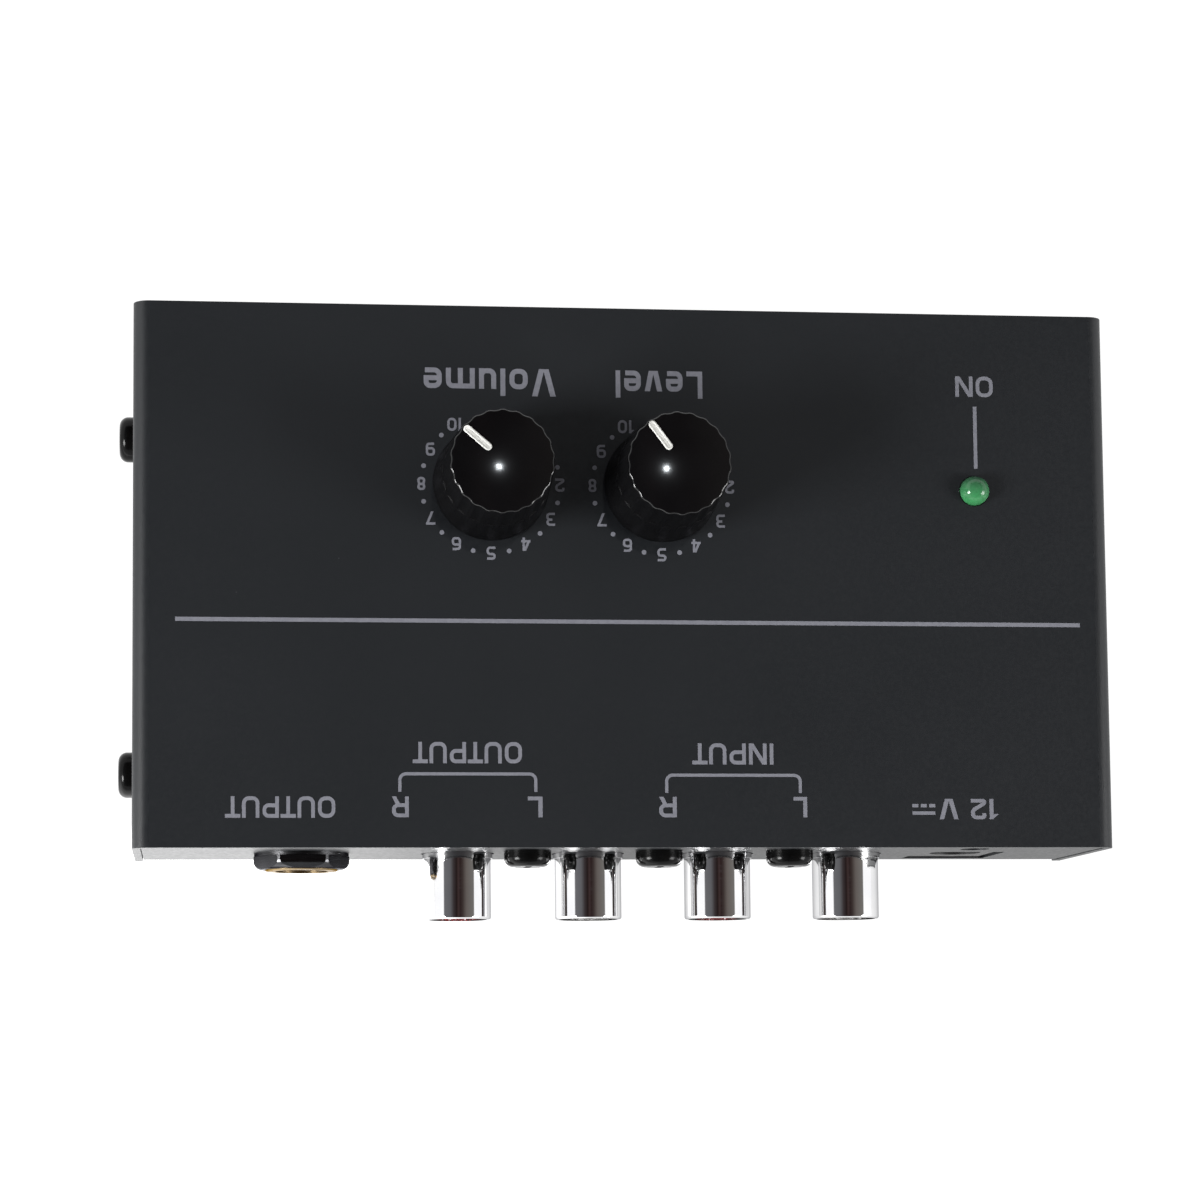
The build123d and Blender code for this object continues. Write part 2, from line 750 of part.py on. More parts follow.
def make_knob(name, x, turn):
    """A fluted knob and its pointer, modelled with the pointer at +Y and then turned clockwise."""
    pointer_length = pointer_outer_radius - pointer_inner_radius
    slot_length = pointer_length + 2 * press_clearance
    slot_width = pointer_width + 2 * press_clearance
    pointer_middle = (pointer_outer_radius + pointer_inner_radius) / 2
    pointer_floor = knob_rim - pointer_depth
    bore_depth = shaft_top - knob_bottom + shaft_end_gap
    place = Location((x, control_y, knob_bottom), (0, 0, -turn))
    cutter = flute_cutter()

    with BuildPart() as blank:
        add(dome_section(knob_top_radius, 0, knob_rim))
        revolve(axis=Axis.Z)
        with BuildSketch(Plane.XY):
            Circle(knob_base_radius)
        with BuildSketch(Plane.XY.offset(knob_rim - knob_rim_chamfer)):
            Circle(knob_radius(knob_rim - knob_rim_chamfer))
        loft()
        with PolarLocations(0, flute_count, start_angle=180 / flute_count):
            add(cutter, mode=Mode.SUBTRACT)
        with BuildSketch(Plane.XY):
            Circle(knob_base_radius - knob_wall)
            Circle(knob_boss_radius, mode=Mode.SUBTRACT)
        extrude(amount=knob_hollow_depth, mode=Mode.SUBTRACT)
        with BuildSketch(Plane.XY):
            Circle(shaft_radius + press_clearance)
            with Locations((0, flat_offset + press_clearance + shaft_radius)):
                Rectangle(2 * knob_boss_radius, 2 * shaft_radius, mode=Mode.SUBTRACT)
        extrude(amount=bore_depth, mode=Mode.SUBTRACT)
        with BuildSketch(Plane.XY.offset(pointer_floor)):
            with Locations((0, pointer_middle)):
                SlotOverall(slot_length, slot_width, rotation=90)
        extrude(amount=knob_height, mode=Mode.SUBTRACT)
    with BuildPart() as knob:
        with Locations(place):
            add(blank.part)
    finish(knob, name + "_knob")

    with BuildPart() as bar:
        add(dome_section(knob_base_radius, pointer_floor, knob_rim + pointer_rise))
        revolve(axis=Axis.Z)
        with BuildSketch(Plane.XY.offset(pointer_floor)):
            with Locations((0, pointer_middle)):
                SlotOverall(pointer_length, pointer_width, rotation=90)
        extrude(amount=knob_height, mode=Mode.INTERSECT)
        fillet(bar.faces().sort_by(Axis.Z)[-1].edges(), radius=pointer_edge_radius)
    with BuildPart() as pointer:
        with Locations(place):
            add(bar.part)
    finish(pointer, name + "_knob_pointer")


make_potentiometer("volume", volume_x, volume_pointer_turn)
make_potentiometer("level", level_x, level_pointer_turn)
make_knob("volume", volume_x, volume_pointer_turn)
make_knob("level", level_x, level_pointer_turn)

# ---------------------------------------------------------------- phono sockets

rca_block_height = rca_z + rca_block_top - board_top
rca_places = [(x, rca_z) for x in rca_xs]
with BuildPart() as rca_block:
    with BuildSketch(facing_front(rear_inner)):
        with Locations((rca_row_x, board_top + rca_block_height / 2)):
            Rectangle(2 * rca_block_half, rca_block_height)
        with Locations(*rear_screw_places):
            Circle(rear_screw_boss_radius)
        with Locations(*[(x, (rca_z + z) / 2) for x, z in rear_screw_places]):
            Rectangle(2 * rear_screw_boss_radius, rear_screw_rise)
    extrude(amount=rca_block_depth)
    with BuildSketch(facing_front(rear_inner)):
        with Locations(*rca_places):
            Circle(rca_collar_radius + running_clearance)
    extrude(amount=rca_seat_depth, mode=Mode.SUBTRACT)
    with BuildSketch(facing_front(rear_inner)):
        with Locations(*rca_places):
            Circle(tail_radius + pin_clearance)
    extrude(amount=rca_block_depth, mode=Mode.SUBTRACT)
    with BuildSketch(facing_front(rear_inner)):
        with Locations(*rear_screw_places):
            Circle(thread_hole_radius)
    extrude(amount=rear_screw_length, mode=Mode.SUBTRACT)
    with BuildSketch(Plane.XY.offset(board_top)):
        with Locations(*rca_lug_points):
            Rectangle(*slot_size(rca_lug_width, rca_lug_thickness))
    extrude(amount=rca_z - board_top, mode=Mode.SUBTRACT)
finish(rca_block, "rca_block")

rca_collar_end = rear_outer + rca_collar_reach
with BuildPart() as rca_shells:
    with BuildSketch(facing_front(rca_end)):
        with Locations(*rca_places):
            Circle(rca_shell_radius)
    extrude(amount=rca_end - rca_back)
    with BuildSketch(facing_front(rca_collar_end)):
        with Locations(*rca_places):
            Circle(rca_collar_radius)
    extrude(amount=rca_collar_end - rca_back)
    with BuildSketch(facing_front(rca_end)):
        with Locations(*rca_places):
            Circle(rca_shell_radius - rca_shell_wall)
    extrude(amount=rca_end - rca_back, mode=Mode.SUBTRACT)
    rims = rca_shells.edges().filter_by(GeomType.CIRCLE).group_by(Axis.Y)[-1]
    outer_rims = rims.group_by(SortBy.RADIUS)[-1]
    fillet(outer_rims, radius=rca_rim_radius)
    with BuildSketch(Plane.XY.offset(pin_end)):
        with Locations(*rca_lug_points):
            Rectangle(rca_lug_width, rca_lug_thickness)
    extrude(amount=rca_z - rca_shell_radius + rca_shell_wall / 2 - pin_end)
finish(rca_shells, "rca_shells")

rca_insulator_front = rca_end - rca_insulator_recess
rca_insulator_radius = rca_shell_radius - rca_shell_wall - press_clearance
rca_contact_front = rca_insulator_front - rca_lip


def make_insulators(name, xs):
    """The insulators of one channel, one in the input pair and one in the output pair."""
    places = [(x, rca_z) for x in xs]
    with BuildPart() as insulators:
        with BuildSketch(facing_front(rca_insulator_front)):
            with Locations(*places):
                Circle(rca_insulator_radius)
                Circle(rca_insulator_hole_radius, mode=Mode.SUBTRACT)
        extrude(amount=rca_insulator_front - rca_back)
        with BuildSketch(facing_front(rca_contact_front)):
            with Locations(*places):
                Circle(rca_contact_radius + press_clearance)
        extrude(amount=rca_contact_front - rca_back, mode=Mode.SUBTRACT)
    finish(insulators, name)


make_insulators("rca_right_insulators", rca_xs[1::2])
make_insulators("rca_left_insulators", rca_xs[0::2])

rca_contact_back = rca_contact_front - rca_contact_length
rca_tail = bent_lead(tail_radius, rca_contact_back - rca_tail_y, rca_z - pin_end)
with BuildPart() as rca_contacts:
    with BuildSketch(facing_front(rca_contact_front)):
        with Locations(*rca_places):
            Circle(rca_contact_radius)
    extrude(amount=rca_contact_length)
    with BuildSketch(facing_front(rca_contact_front)):
        with Locations(*rca_places):
            Circle(rca_contact_bore_radius)
    extrude(amount=rca_contact_length - rca_lip, mode=Mode.SUBTRACT)
    with BuildSketch(facing_front(rca_contact_front)):
        with Locations(*rca_places):
            Rectangle(2 * rca_contact_radius, rca_slit)
    extrude(amount=rca_slit_length, mode=Mode.SUBTRACT)
    with Locations(*[(x, rca_contact_back, rca_z) for x in rca_xs]):
        add(rca_tail)
finish(rca_contacts, "rca_contacts")

rear_screw = pan_head_screw(rear_screw_head_radius, rear_screw_head_height, rear_screw_length)
with BuildPart() as rear_screws:
    with Locations(*[Location((x, rear_outer, z), (-90, 0, 0)) for x, z in rear_screw_places]):
        add(rear_screw)
finish(rear_screws, "rear_screws")

# ---------------------------------------------------------------- quarter-inch jack

jack_mouth = rear_outer + jack_washer + jack_nut + jack_lip
jack_arm = (jack_leaf_length, jack_leaf_height)
with BuildPart() as jack_body:
    with BuildSketch(facing_front(rear_inner)):
        with Locations((jack_x, (board_top + jack_z + jack_body_rise) / 2)):
            Rectangle(jack_body_width, jack_z + jack_body_rise - board_top)
    extrude(amount=jack_body_length)
    fillet(jack_body.edges().filter_by(Axis.Y).group_by(Axis.Z)[-1], radius=jack_body_corner)
    with BuildSketch(facing_front(rear_inner)):
        with Locations((jack_x, jack_z)):
            Circle(jack_thread_radius + running_clearance)
    extrude(amount=jack_front_wall, mode=Mode.SUBTRACT)
    with BuildSketch(facing_front(jack_flange_y)):
        with Locations((jack_x, jack_z)):
            Circle(jack_cavity_radius)
    extrude(amount=jack_body_length - jack_front_wall - jack_rear_wall, mode=Mode.SUBTRACT)
    for leaf_x in jack_leaf_xs:
        slot = leaf_contact(leaf_x, jack_leaf_mouth, jack_z, jack_arm, jack_leg_width, slot_clearance)
        add(slot, mode=Mode.SUBTRACT)
    with BuildSketch(Plane.XY.offset(board_top)):
        with Locations((jack_x, jack_sleeve_y)):
            Rectangle(*slot_size(jack_sleeve_width, leaf_thickness))
    extrude(amount=jack_z - jack_sleeve_drop - board_top, mode=Mode.SUBTRACT)
finish(jack_body, "jack_body")

with BuildPart() as jack_bushing:
    with BuildSketch(facing_front(jack_mouth)):
        with Locations((jack_x, jack_z)):
            Circle(jack_thread_radius)
    extrude(amount=jack_mouth - jack_flange_y)
    with BuildSketch(facing_front(jack_flange_y)):
        with Locations((jack_x, jack_z)):
            Circle(jack_flange_radius)
    extrude(amount=jack_flange)
    chamfer(jack_bushing.edges().filter_by(GeomType.CIRCLE).group_by(Axis.Y)[-1], length=jack_edge)
    with BuildSketch(facing_front(jack_mouth)):
        with Locations((jack_x, jack_z)):
            Circle(jack_bore_radius)
    extrude(amount=jack_mouth - jack_flange_y + jack_flange, mode=Mode.SUBTRACT)
finish(jack_bushing, "jack_bushing")

with BuildPart() as jack_washer_ring:
    with BuildSketch(facing_front(rear_outer)):
        with Locations((jack_x, jack_z)):
            Circle(jack_washer_radius)
            Circle(jack_thread_radius + running_clearance, mode=Mode.SUBTRACT)
    extrude(amount=-jack_washer)
finish(jack_washer_ring, "jack_washer")

with BuildPart() as jack_nut_blank:
    with BuildSketch(facing_front(rear_outer + jack_washer)):
        with Locations((jack_x, jack_z)):
            Circle(jack_nut_blank_radius)
    extrude(amount=-jack_nut)
    fillet(jack_nut_blank.faces().sort_by(Axis.Y)[-1].edges(), radius=jack_nut_round)

with BuildPart() as jack_hex_nut:
    with BuildSketch(facing_front(rear_outer + jack_washer)):
        with Locations((jack_x, jack_z)):
            RegularPolygon(jack_nut_across_flats / 2, 6, major_radius=False)
    extrude(amount=-jack_nut)
    add(jack_nut_blank.part, mode=Mode.INTERSECT)
    with BuildSketch(facing_front(rear_outer + jack_washer)):
        with Locations((jack_x, jack_z)):
            Circle(jack_thread_radius + running_clearance)
    extrude(amount=-jack_nut, mode=Mode.SUBTRACT)
finish(jack_hex_nut, "jack_nut")

with BuildPart() as jack_contacts:
    for side, leaf_x in zip((1, -1), jack_leaf_xs):
        add(leaf_contact(leaf_x, jack_leaf_mouth, jack_z, jack_arm, jack_leg_width))
        with Locations((leaf_x + side * leaf_thickness / 2, jack_leaf_mouth - jack_leaf_bump, jack_z)):
            Cylinder(jack_leaf_bump, jack_leaf_height)
    with BuildSketch(Plane.XY.offset(pin_end)):
        with Locations((jack_x, jack_sleeve_y)):
            Rectangle(jack_sleeve_width, leaf_thickness)
    extrude(amount=jack_z - jack_sleeve_drop - pin_end)
finish(jack_contacts, "jack_contacts")

# ---------------------------------------------------------------- power socket

dc_arm = (dc_leaf_length, dc_leaf_width)
dc_bore_floor = dc_face - dc_bore_depth
with BuildPart() as dc_body:
    with BuildSketch(facing_front(dc_face)):
        with Locations((dc_x, (board_top + dc_z + dc_body_rise) / 2)):
            Rectangle(dc_body_width, dc_z + dc_body_rise - board_top)
    extrude(amount=dc_body_length)
    fillet(dc_body.edges().filter_by(Axis.Y).group_by(Axis.Z)[-1], radius=dc_body_corner)
    with BuildSketch(facing_front(dc_face)):
        with Locations((dc_x, dc_z)):
            Circle(dc_bore_radius)
    extrude(amount=dc_bore_depth, mode=Mode.SUBTRACT)
    with BuildSketch(facing_front(dc_bore_floor)):
        with Locations((dc_x, dc_z)):
            Circle(dc_pin_radius + press_clearance)
    extrude(amount=dc_pin_seat, mode=Mode.SUBTRACT)
    with BuildSketch(facing_front(dc_bore_floor)):
        with Locations((dc_x, dc_z)):
            Circle(tail_radius + pin_clearance)
    extrude(amount=dc_body_length - dc_bore_depth, mode=Mode.SUBTRACT)
    slot = leaf_contact(dc_leaf_x, dc_leaf_mouth, dc_z, dc_arm, dc_leaf_width, slot_clearance)
    add(slot, mode=Mode.SUBTRACT)
finish(dc_body, "dc_socket_body")

dc_tail = bent_lead(tail_radius, dc_bore_floor - dc_tail_point[1], dc_z - pin_end)
with BuildPart() as dc_pin:
    with BuildSketch(facing_front(dc_bore_floor + dc_pin_length)):
        with Locations((dc_x, dc_z)):
            Circle(dc_pin_radius)
    extrude(amount=dc_pin_length + dc_pin_seat)
    fillet(dc_pin.edges().group_by(Axis.Y)[-1], radius=dc_pin_tip_radius)
    with Locations((dc_x, dc_bore_floor, dc_z)):
        add(dc_tail)
finish(dc_pin, "dc_socket_pin")

with BuildPart() as dc_leaf:
    add(leaf_contact(dc_leaf_x, dc_leaf_mouth, dc_z, dc_arm, dc_leaf_width))
finish(dc_leaf, "dc_socket_leaf")

# ---------------------------------------------------------------- parts on the board

with BuildPart() as op_amps:
    with BuildSketch(Plane.XY.offset(board_top + op_amp_lift)):
        with Locations(*[(x, op_amp_y) for x in op_amp_x]):
            Rectangle(op_amp_length, op_amp_width)
    extrude(amount=op_amp_height)
    chamfer(op_amps.faces().filter_by(Axis.Z).group_by(Axis.Z)[-1].edges(), length=op_amp_bevel)
    with BuildSketch(Plane.XY.offset(board_top + op_amp_lift + op_amp_height)):
        with Locations(*[(x - op_amp_length / 2, op_amp_y) for x in op_amp_x]):
            Circle(op_amp_notch)
    extrude(amount=-op_amp_notch, mode=Mode.SUBTRACT)
finish(op_amps, "op_amps")

op_amp_middle = board_top + op_amp_lift + op_amp_height / 2
op_amp_reach = (op_amp_row_spacing + op_amp_pin_thickness - op_amp_width) / 2


def op_amp_leg():
    """One leg of a chip at X = 0: a short arm out of the body's side, then straight down."""
    with BuildPart() as leg:
        with BuildSketch(Plane.YZ.offset(-op_amp_pin_width / 2)):
            with Locations((op_amp_width / 2 + op_amp_reach / 2, op_amp_middle)):
                Rectangle(op_amp_reach, op_amp_pin_thickness)
            with Locations((op_amp_row_spacing / 2, (op_amp_middle + pin_end) / 2)):
                Rectangle(op_amp_pin_thickness, op_amp_middle - pin_end)
        extrude(amount=op_amp_pin_width)
    return leg.part


leg = op_amp_leg()
with BuildPart() as op_amp_pins:
    for x in op_amp_x:
        for dx in op_amp_pin_xs:
            with Locations(Location((x + dx, op_amp_y, 0)), Location((x + dx, op_amp_y, 0), (0, 0, 180))):
                add(leg)
finish(op_amp_pins, "op_amp_pins")


def electrolytic_can(radius, height):
    """One upright can, with the crimped groove near its foot."""
    with BuildPart() as can:
        with BuildSketch(Plane.XY):
            Circle(radius)
        extrude(amount=height)
        fillet(can.edges().group_by(Axis.Z)[-1], radius=can_groove)
        with BuildSketch(Plane.XY.offset(can_groove_height)):
            Circle(radius)
            Circle(radius - can_groove, mode=Mode.SUBTRACT)
        extrude(amount=can_groove, mode=Mode.SUBTRACT)
    return can.part


bulk_can = electrolytic_can(bulk_can_radius, bulk_can_height)
with BuildPart() as bulk_capacitors:
    with Locations(*[(x, bulk_can_y, board_top) for x in bulk_can_x]):
        add(bulk_can)
finish(bulk_capacitors, "bulk_capacitors")

small_can = electrolytic_can(small_can_radius, small_can_height)
with BuildPart() as small_capacitors:
    with Locations(*[(x, small_can_y, board_top) for x in small_can_xs]):
        add(small_can)
finish(small_capacitors, "small_capacitors")

with BuildPart() as film_capacitors:
    with BuildSketch(Plane.XY.offset(board_top)):
        with Locations(*[(x, film_y) for x in film_xs]):
            RectangleRounded(film_width, film_depth, film_corner)
    extrude(amount=film_height)
finish(film_capacitors, "film_capacitors")

with BuildPart() as capacitor_leads:
    with BuildSketch(Plane.XY.offset(pin_end)):
        with Locations(*can_pin_points):
            Circle(lead_radius)
    extrude(amount=pin_drop)
finish(capacitor_leads, "capacitor_leads")

resistor_z = board_top + resistor_lift + resistor_radius
diode_z = board_top + resistor_lift + diode_radius


def resistor_body():
    """One axial resistor along X at the origin: two caps joined by a thinner waist."""
    cap_starts = (-resistor_length / 2, resistor_length / 2 - resistor_cap_length)
    with BuildPart() as body:
        with BuildSketch(Plane.YZ.offset(-resistor_length / 2)):
            Circle(resistor_waist)
        extrude(amount=resistor_length)
        for start in cap_starts:
            with BuildSketch(Plane.YZ.offset(start)):
                Circle(resistor_radius)
            extrude(amount=resistor_cap_length)
    return body.part


resistor = resistor_body()
with BuildPart() as resistors:
    with Locations(*[(x, y, resistor_z) for x, y in resistor_points]):
        add(resistor)
finish(resistors, "resistors")

with BuildPart() as diode:
    with BuildSketch(Plane.YZ.offset(diode_x - diode_length / 2)):
        with Locations((diode_point[1], diode_z)):
            Circle(diode_radius)
    extrude(amount=diode_length)
finish(diode, "diode")

resistor_lead = bent_lead(lead_radius, axial_lead_run, resistor_z - pin_end)
diode_lead = bent_lead(lead_radius, axial_lead_run, diode_z - pin_end)
with BuildPart() as axial_leads:
    for x, y in resistor_points:
        with Locations(Location((x + resistor_length / 2, y, resistor_z), (0, 0, 90))):
            add(resistor_lead)
        with Locations(Location((x - resistor_length / 2, y, resistor_z), (0, 0, -90))):
            add(resistor_lead)
    with Locations(Location((diode_x + diode_length / 2, diode_point[1], diode_z), (0, 0, 90))):
        add(diode_lead)
    with Locations(Location((diode_x - diode_length / 2, diode_point[1], diode_z), (0, 0, -90))):
        add(diode_lead)
finish(axial_leads, "axial_leads")
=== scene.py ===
import json
import math

import bmesh
import bpy
from mathutils import Matrix, Vector, geometry


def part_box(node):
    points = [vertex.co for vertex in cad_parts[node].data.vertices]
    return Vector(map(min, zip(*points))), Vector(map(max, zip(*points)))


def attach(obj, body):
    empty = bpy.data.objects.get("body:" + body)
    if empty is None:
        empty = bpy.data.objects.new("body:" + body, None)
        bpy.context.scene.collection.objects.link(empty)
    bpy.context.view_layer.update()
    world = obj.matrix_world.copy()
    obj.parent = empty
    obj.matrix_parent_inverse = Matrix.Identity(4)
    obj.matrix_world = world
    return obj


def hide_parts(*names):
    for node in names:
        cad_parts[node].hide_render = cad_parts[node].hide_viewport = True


# The looks of the phono preamp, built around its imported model.
# Sizes are in millimetres unless a name says otherwise, and mm() turns them into Blender's metres.

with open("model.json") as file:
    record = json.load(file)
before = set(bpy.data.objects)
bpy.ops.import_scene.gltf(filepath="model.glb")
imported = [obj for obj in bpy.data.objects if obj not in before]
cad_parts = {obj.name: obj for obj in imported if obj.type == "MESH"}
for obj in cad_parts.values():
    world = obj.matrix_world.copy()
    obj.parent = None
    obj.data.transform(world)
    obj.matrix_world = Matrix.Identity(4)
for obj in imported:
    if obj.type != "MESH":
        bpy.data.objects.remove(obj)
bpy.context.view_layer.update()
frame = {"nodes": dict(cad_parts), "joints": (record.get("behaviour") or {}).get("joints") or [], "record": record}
MILLIMETRE = 0.001


def mm(*lengths):
    """Millimetres as metres: one number for one length, a vector for several."""
    scaled = [length * MILLIMETRE for length in lengths]
    return scaled[0] if len(scaled) == 1 else Vector(scaled)


def node_box(name):
    """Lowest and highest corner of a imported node, in millimetres."""
    low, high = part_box(name)
    return low / MILLIMETRE, high / MILLIMETRE


cover_top = node_box("top_cover")[1].z

# ---------------------------------------------------------------- procedural finishes


def add_node(tree, kind, sockets=(), **settings):
    """A node with the given settings, whose inputs are constants or other nodes' outputs."""
    made = tree.nodes.new(kind)
    for setting, value in settings.items():
        setattr(made, setting, value)
    for socket, value in dict(sockets).items():
        if isinstance(value, bpy.types.NodeSocket):
            tree.links.new(value, made.inputs[socket])
        else:
            made.inputs[socket].default_value = value
    return made


def mixed_colour(tree, amount, first, second):
    """A mix of two colours, each a constant or another node's output, by an amount from 0 to 1."""
    colours = [c if isinstance(c, bpy.types.NodeSocket) else (*c, 1.0) for c in (first, second)]
    sockets = {0: amount, 6: colours[0], 7: colours[1]}
    return add_node(tree, "ShaderNodeMix", sockets, data_type="RGBA").outputs[2]


class Finish:
    """A procedural material on one Principled shader, whose textures are laid out in millimetres."""

    def __init__(self, name, **constants):
        self.material = bpy.data.materials.new(name)
        self.material.use_nodes = True
        self.tree = self.material.node_tree
        self.shader = self.tree.nodes["Principled BSDF"]
        for socket, value in constants.items():
            self.shader.inputs[socket.replace("_", " ")].default_value = value
        self.coordinates = self.tree.nodes.new("ShaderNodeTexCoord").outputs["Object"]

    def node(self, kind, sockets=(), **settings):
        return add_node(self.tree, kind, sockets, **settings)

    def place(self, stretch):
        """The piece's coordinates in millimetres, drawn out along each axis by its stretch."""
        scale = [1 / (MILLIMETRE * length) for length in stretch]
        return self.node("ShaderNodeMapping", {"Vector": self.coordinates, "Scale": scale}).outputs[0]

    def axis(self, index):
        """The piece's own X, Y or Z in millimetres, for index 0, 1 or 2."""
        return self.node("ShaderNodeSeparateXYZ", {0: self.place((1, 1, 1))}).outputs[index]

    def noise(self, size, detail=2.0, stretch=(1, 1, 1), roughness=0.5):
        """Cloudy noise whose blotches are about as large as size."""
        vector = self.place([size * length for length in stretch])
        sockets = {"Vector": vector, "Scale": 1.0, "Detail": detail, "Roughness": roughness}
        return self.node("ShaderNodeTexNoise", sockets).outputs["Fac"]

    def specks(self, spacing, radius):
        """1 on small round specks that lie about spacing apart, 0 elsewhere."""
        cells = self.node("ShaderNodeTexVoronoi", {"Vector": self.place([spacing] * 3), "Scale": 1.0})
        return self.fit(cells.outputs["Distance"], radius / spacing, 0.6 * radius / spacing, 0, 1)

    def fit(self, value, low, high, new_low, new_high):
        """The value's range from low to high, stretched to another range and clamped to it."""
        sockets = {"Value": value, "From Min": low, "From Max": high, "To Min": new_low, "To Max": new_high}
        return self.node("ShaderNodeMapRange", sockets).outputs["Result"]

    def maths(self, operation, *values):
        return self.node("ShaderNodeMath", dict(enumerate(values)), operation=operation).outputs[0]

    def blend(self, amount, first, second):
        return mixed_colour(self.tree, amount, first, second)

    def feed(self, socket, output):
        """Link an output to an input of the shader."""
        self.tree.links.new(output, self.shader.inputs[socket])

    def colour(self, output):
        self.feed("Base Color", output)

    def roughness(self, value, low, high):
        """Roughness from low to high over the usual range of a noise."""
        self.feed("Roughness", self.fit(value, 0.3, 0.7, low, high))

    def bump(self, height, depth):
        """Relief of the given depth."""
        sockets = {"Height": height, "Distance": mm(depth), "Strength": 1.0}
        self.feed("Normal", self.node("ShaderNodeBump", sockets).outputs[0])


def satin_paint():
    """Black powder coat: a fine orange-peel skin, faint clouds of tone and a few light specks of dust."""
    paint = Finish("case_paint", Specular_IOR_Level=0.35)
    skin = paint.noise(0.45, detail=3)
    clouds = paint.noise(25, detail=3)
    darker, lighter = (0.0072, 0.0086, 0.0104), (0.0094, 0.0108, 0.0128)
    tone = paint.blend(paint.fit(clouds, 0.3, 0.7, 0, 1), darker, lighter)
    dust = paint.specks(spacing=9, radius=0.09)
    paint.colour(paint.blend(dust, tone, (0.06, 0.065, 0.07)))
    paint.roughness(skin, 0.40, 0.50)
    paint.bump(skin, 0.010)
    return paint.material


def grained_plastic(name, first, second, grain=0.3, depth=0.004, low=0.4, high=0.55, **constants):
    """Moulded plastic or rubber: two close tones in soft clouds under a fine moulded grain."""
    plastic = Finish(name, **constants)
    skin = plastic.noise(grain, detail=3)
    clouds = plastic.noise(12 * grain, detail=3)
    plastic.colour(plastic.blend(plastic.fit(clouds, 0.3, 0.7, 0, 1), first, second))
    plastic.roughness(skin, low, high)
    plastic.bump(skin, depth)
    return plastic.material


def bare_metal(
    name, first, second, stretch=(1, 1, 1), grain=0.12, depth=0.001, low=0.2, high=0.35, **constants
):
    """Metal with tool marks drawn out along the axis that has the largest stretch."""
    metal = Finish(name, Metallic=1.0, **constants)
    marks = metal.noise(grain, detail=4, stretch=stretch)
    stains = metal.noise(4, detail=3)
    metal.colour(metal.blend(metal.fit(stains, 0.35, 0.7, 0, 1), first, second))
    metal.roughness(marks, low, high)
    metal.bump(marks, depth)
    return metal.material


def printed_ink():
    """Grey screen print with slightly uneven cover."""
    ink = Finish("printed_ink", Specular_IOR_Level=0.3)
    cover = ink.noise(0.5, detail=4, roughness=0.7)
    ink.colour(ink.blend(ink.fit(cover, 0.3, 0.7, 0, 1), (0.155, 0.158, 0.185), (0.195, 0.198, 0.225)))
    ink.roughness(cover, 0.5, 0.65)
    ink.bump(cover, 0.004)
    return ink.material


def green_lens():
    """Tinted green epoxy of the lamp, with painted light: darker green painted at its front side and brighter
    green painted towards its rear side.
    """
    lens = Finish("lamp_green", IOR=1.45, Transmission_Weight=0.12, Specular_IOR_Level=0.35)
    haze = lens.noise(0.8, detail=2)
    low, high = node_box("lamp_lens")
    # painted light: the lens colour runs from a painted dark green at the front to a painted bright green at the
    # rear, standing in for light gathered in the epoxy
    painted_shade_until, painted_light_from = low.y + 0.6, high.y - 0.9
    painted_light_share = lens.fit(lens.axis(1), painted_shade_until, painted_light_from, 0, 1)
    painted_light_green = lens.blend(painted_light_share, (0.030, 0.085, 0.048), (0.045, 0.270, 0.090))
    lens.colour(lens.blend(lens.fit(haze, 0.3, 0.7, 0, 0.35), painted_light_green, (0.06, 0.19, 0.09)))
    lens.roughness(haze, 0.08, 0.14)
    lens.bump(haze, 0.002)
    return lens.material


def board_laminate():
    """Green solder mask over copper tracks, which show as lighter lines a little proud of the board."""
    board = Finish("board_laminate", Coat_Weight=0.4, Coat_Roughness=0.15)
    weave = board.noise(0.25, detail=2, stretch=(4, 1, 1))
    cells = board.node(
        "ShaderNodeTexVoronoi",
        {"Vector": board.place([6, 6, 6]), "Scale": 1.0, "Randomness": 0.4},
        feature="DISTANCE_TO_EDGE",
    )
    tracks = board.fit(cells.outputs["Distance"], 0.05, 0.07, 1, 0)
    board.colour(board.blend(tracks, (0.006, 0.075, 0.022), (0.015, 0.17, 0.05)))
    board.roughness(weave, 0.3, 0.4)
    board.bump(board.maths("ADD", weave, tracks), 0.02)
    return board.material


def knob_plastic():
    """Black plastic: satin on the fluted flank and polished on the domed top."""
    knob = Finish("knob_plastic", Coat_Roughness=0.085, Specular_IOR_Level=0.05)
    polished_depth, blur = 0.75, 0.1
    polish_start = node_box("volume_knob")[1].z - polished_depth
    top = knob.fit(knob.axis(2), polish_start - blur, polish_start + blur, 0, 1)
    skin = knob.noise(0.4, detail=3)
    clouds = knob.fit(knob.noise(5, detail=3), 0.3, 0.7, 0, 1)
    knob.colour(knob.blend(clouds, (0.0022, 0.0022, 0.0025), (0.0034, 0.0034, 0.0038)))
    flank_roughness = knob.fit(skin, 0.3, 0.7, 0.42, 0.50)
    top_roughness = knob.fit(skin, 0.3, 0.7, 0.20, 0.24)
    blended = knob.node("ShaderNodeMix", {0: top, 2: flank_roughness, 3: top_roughness}, data_type="FLOAT")
    knob.feed("Roughness", blended.outputs[0])
    knob.feed("Coat Weight", knob.fit(top, 0, 1, 0, 0.8))
    knob.bump(skin, 0.0010)
    return knob.material


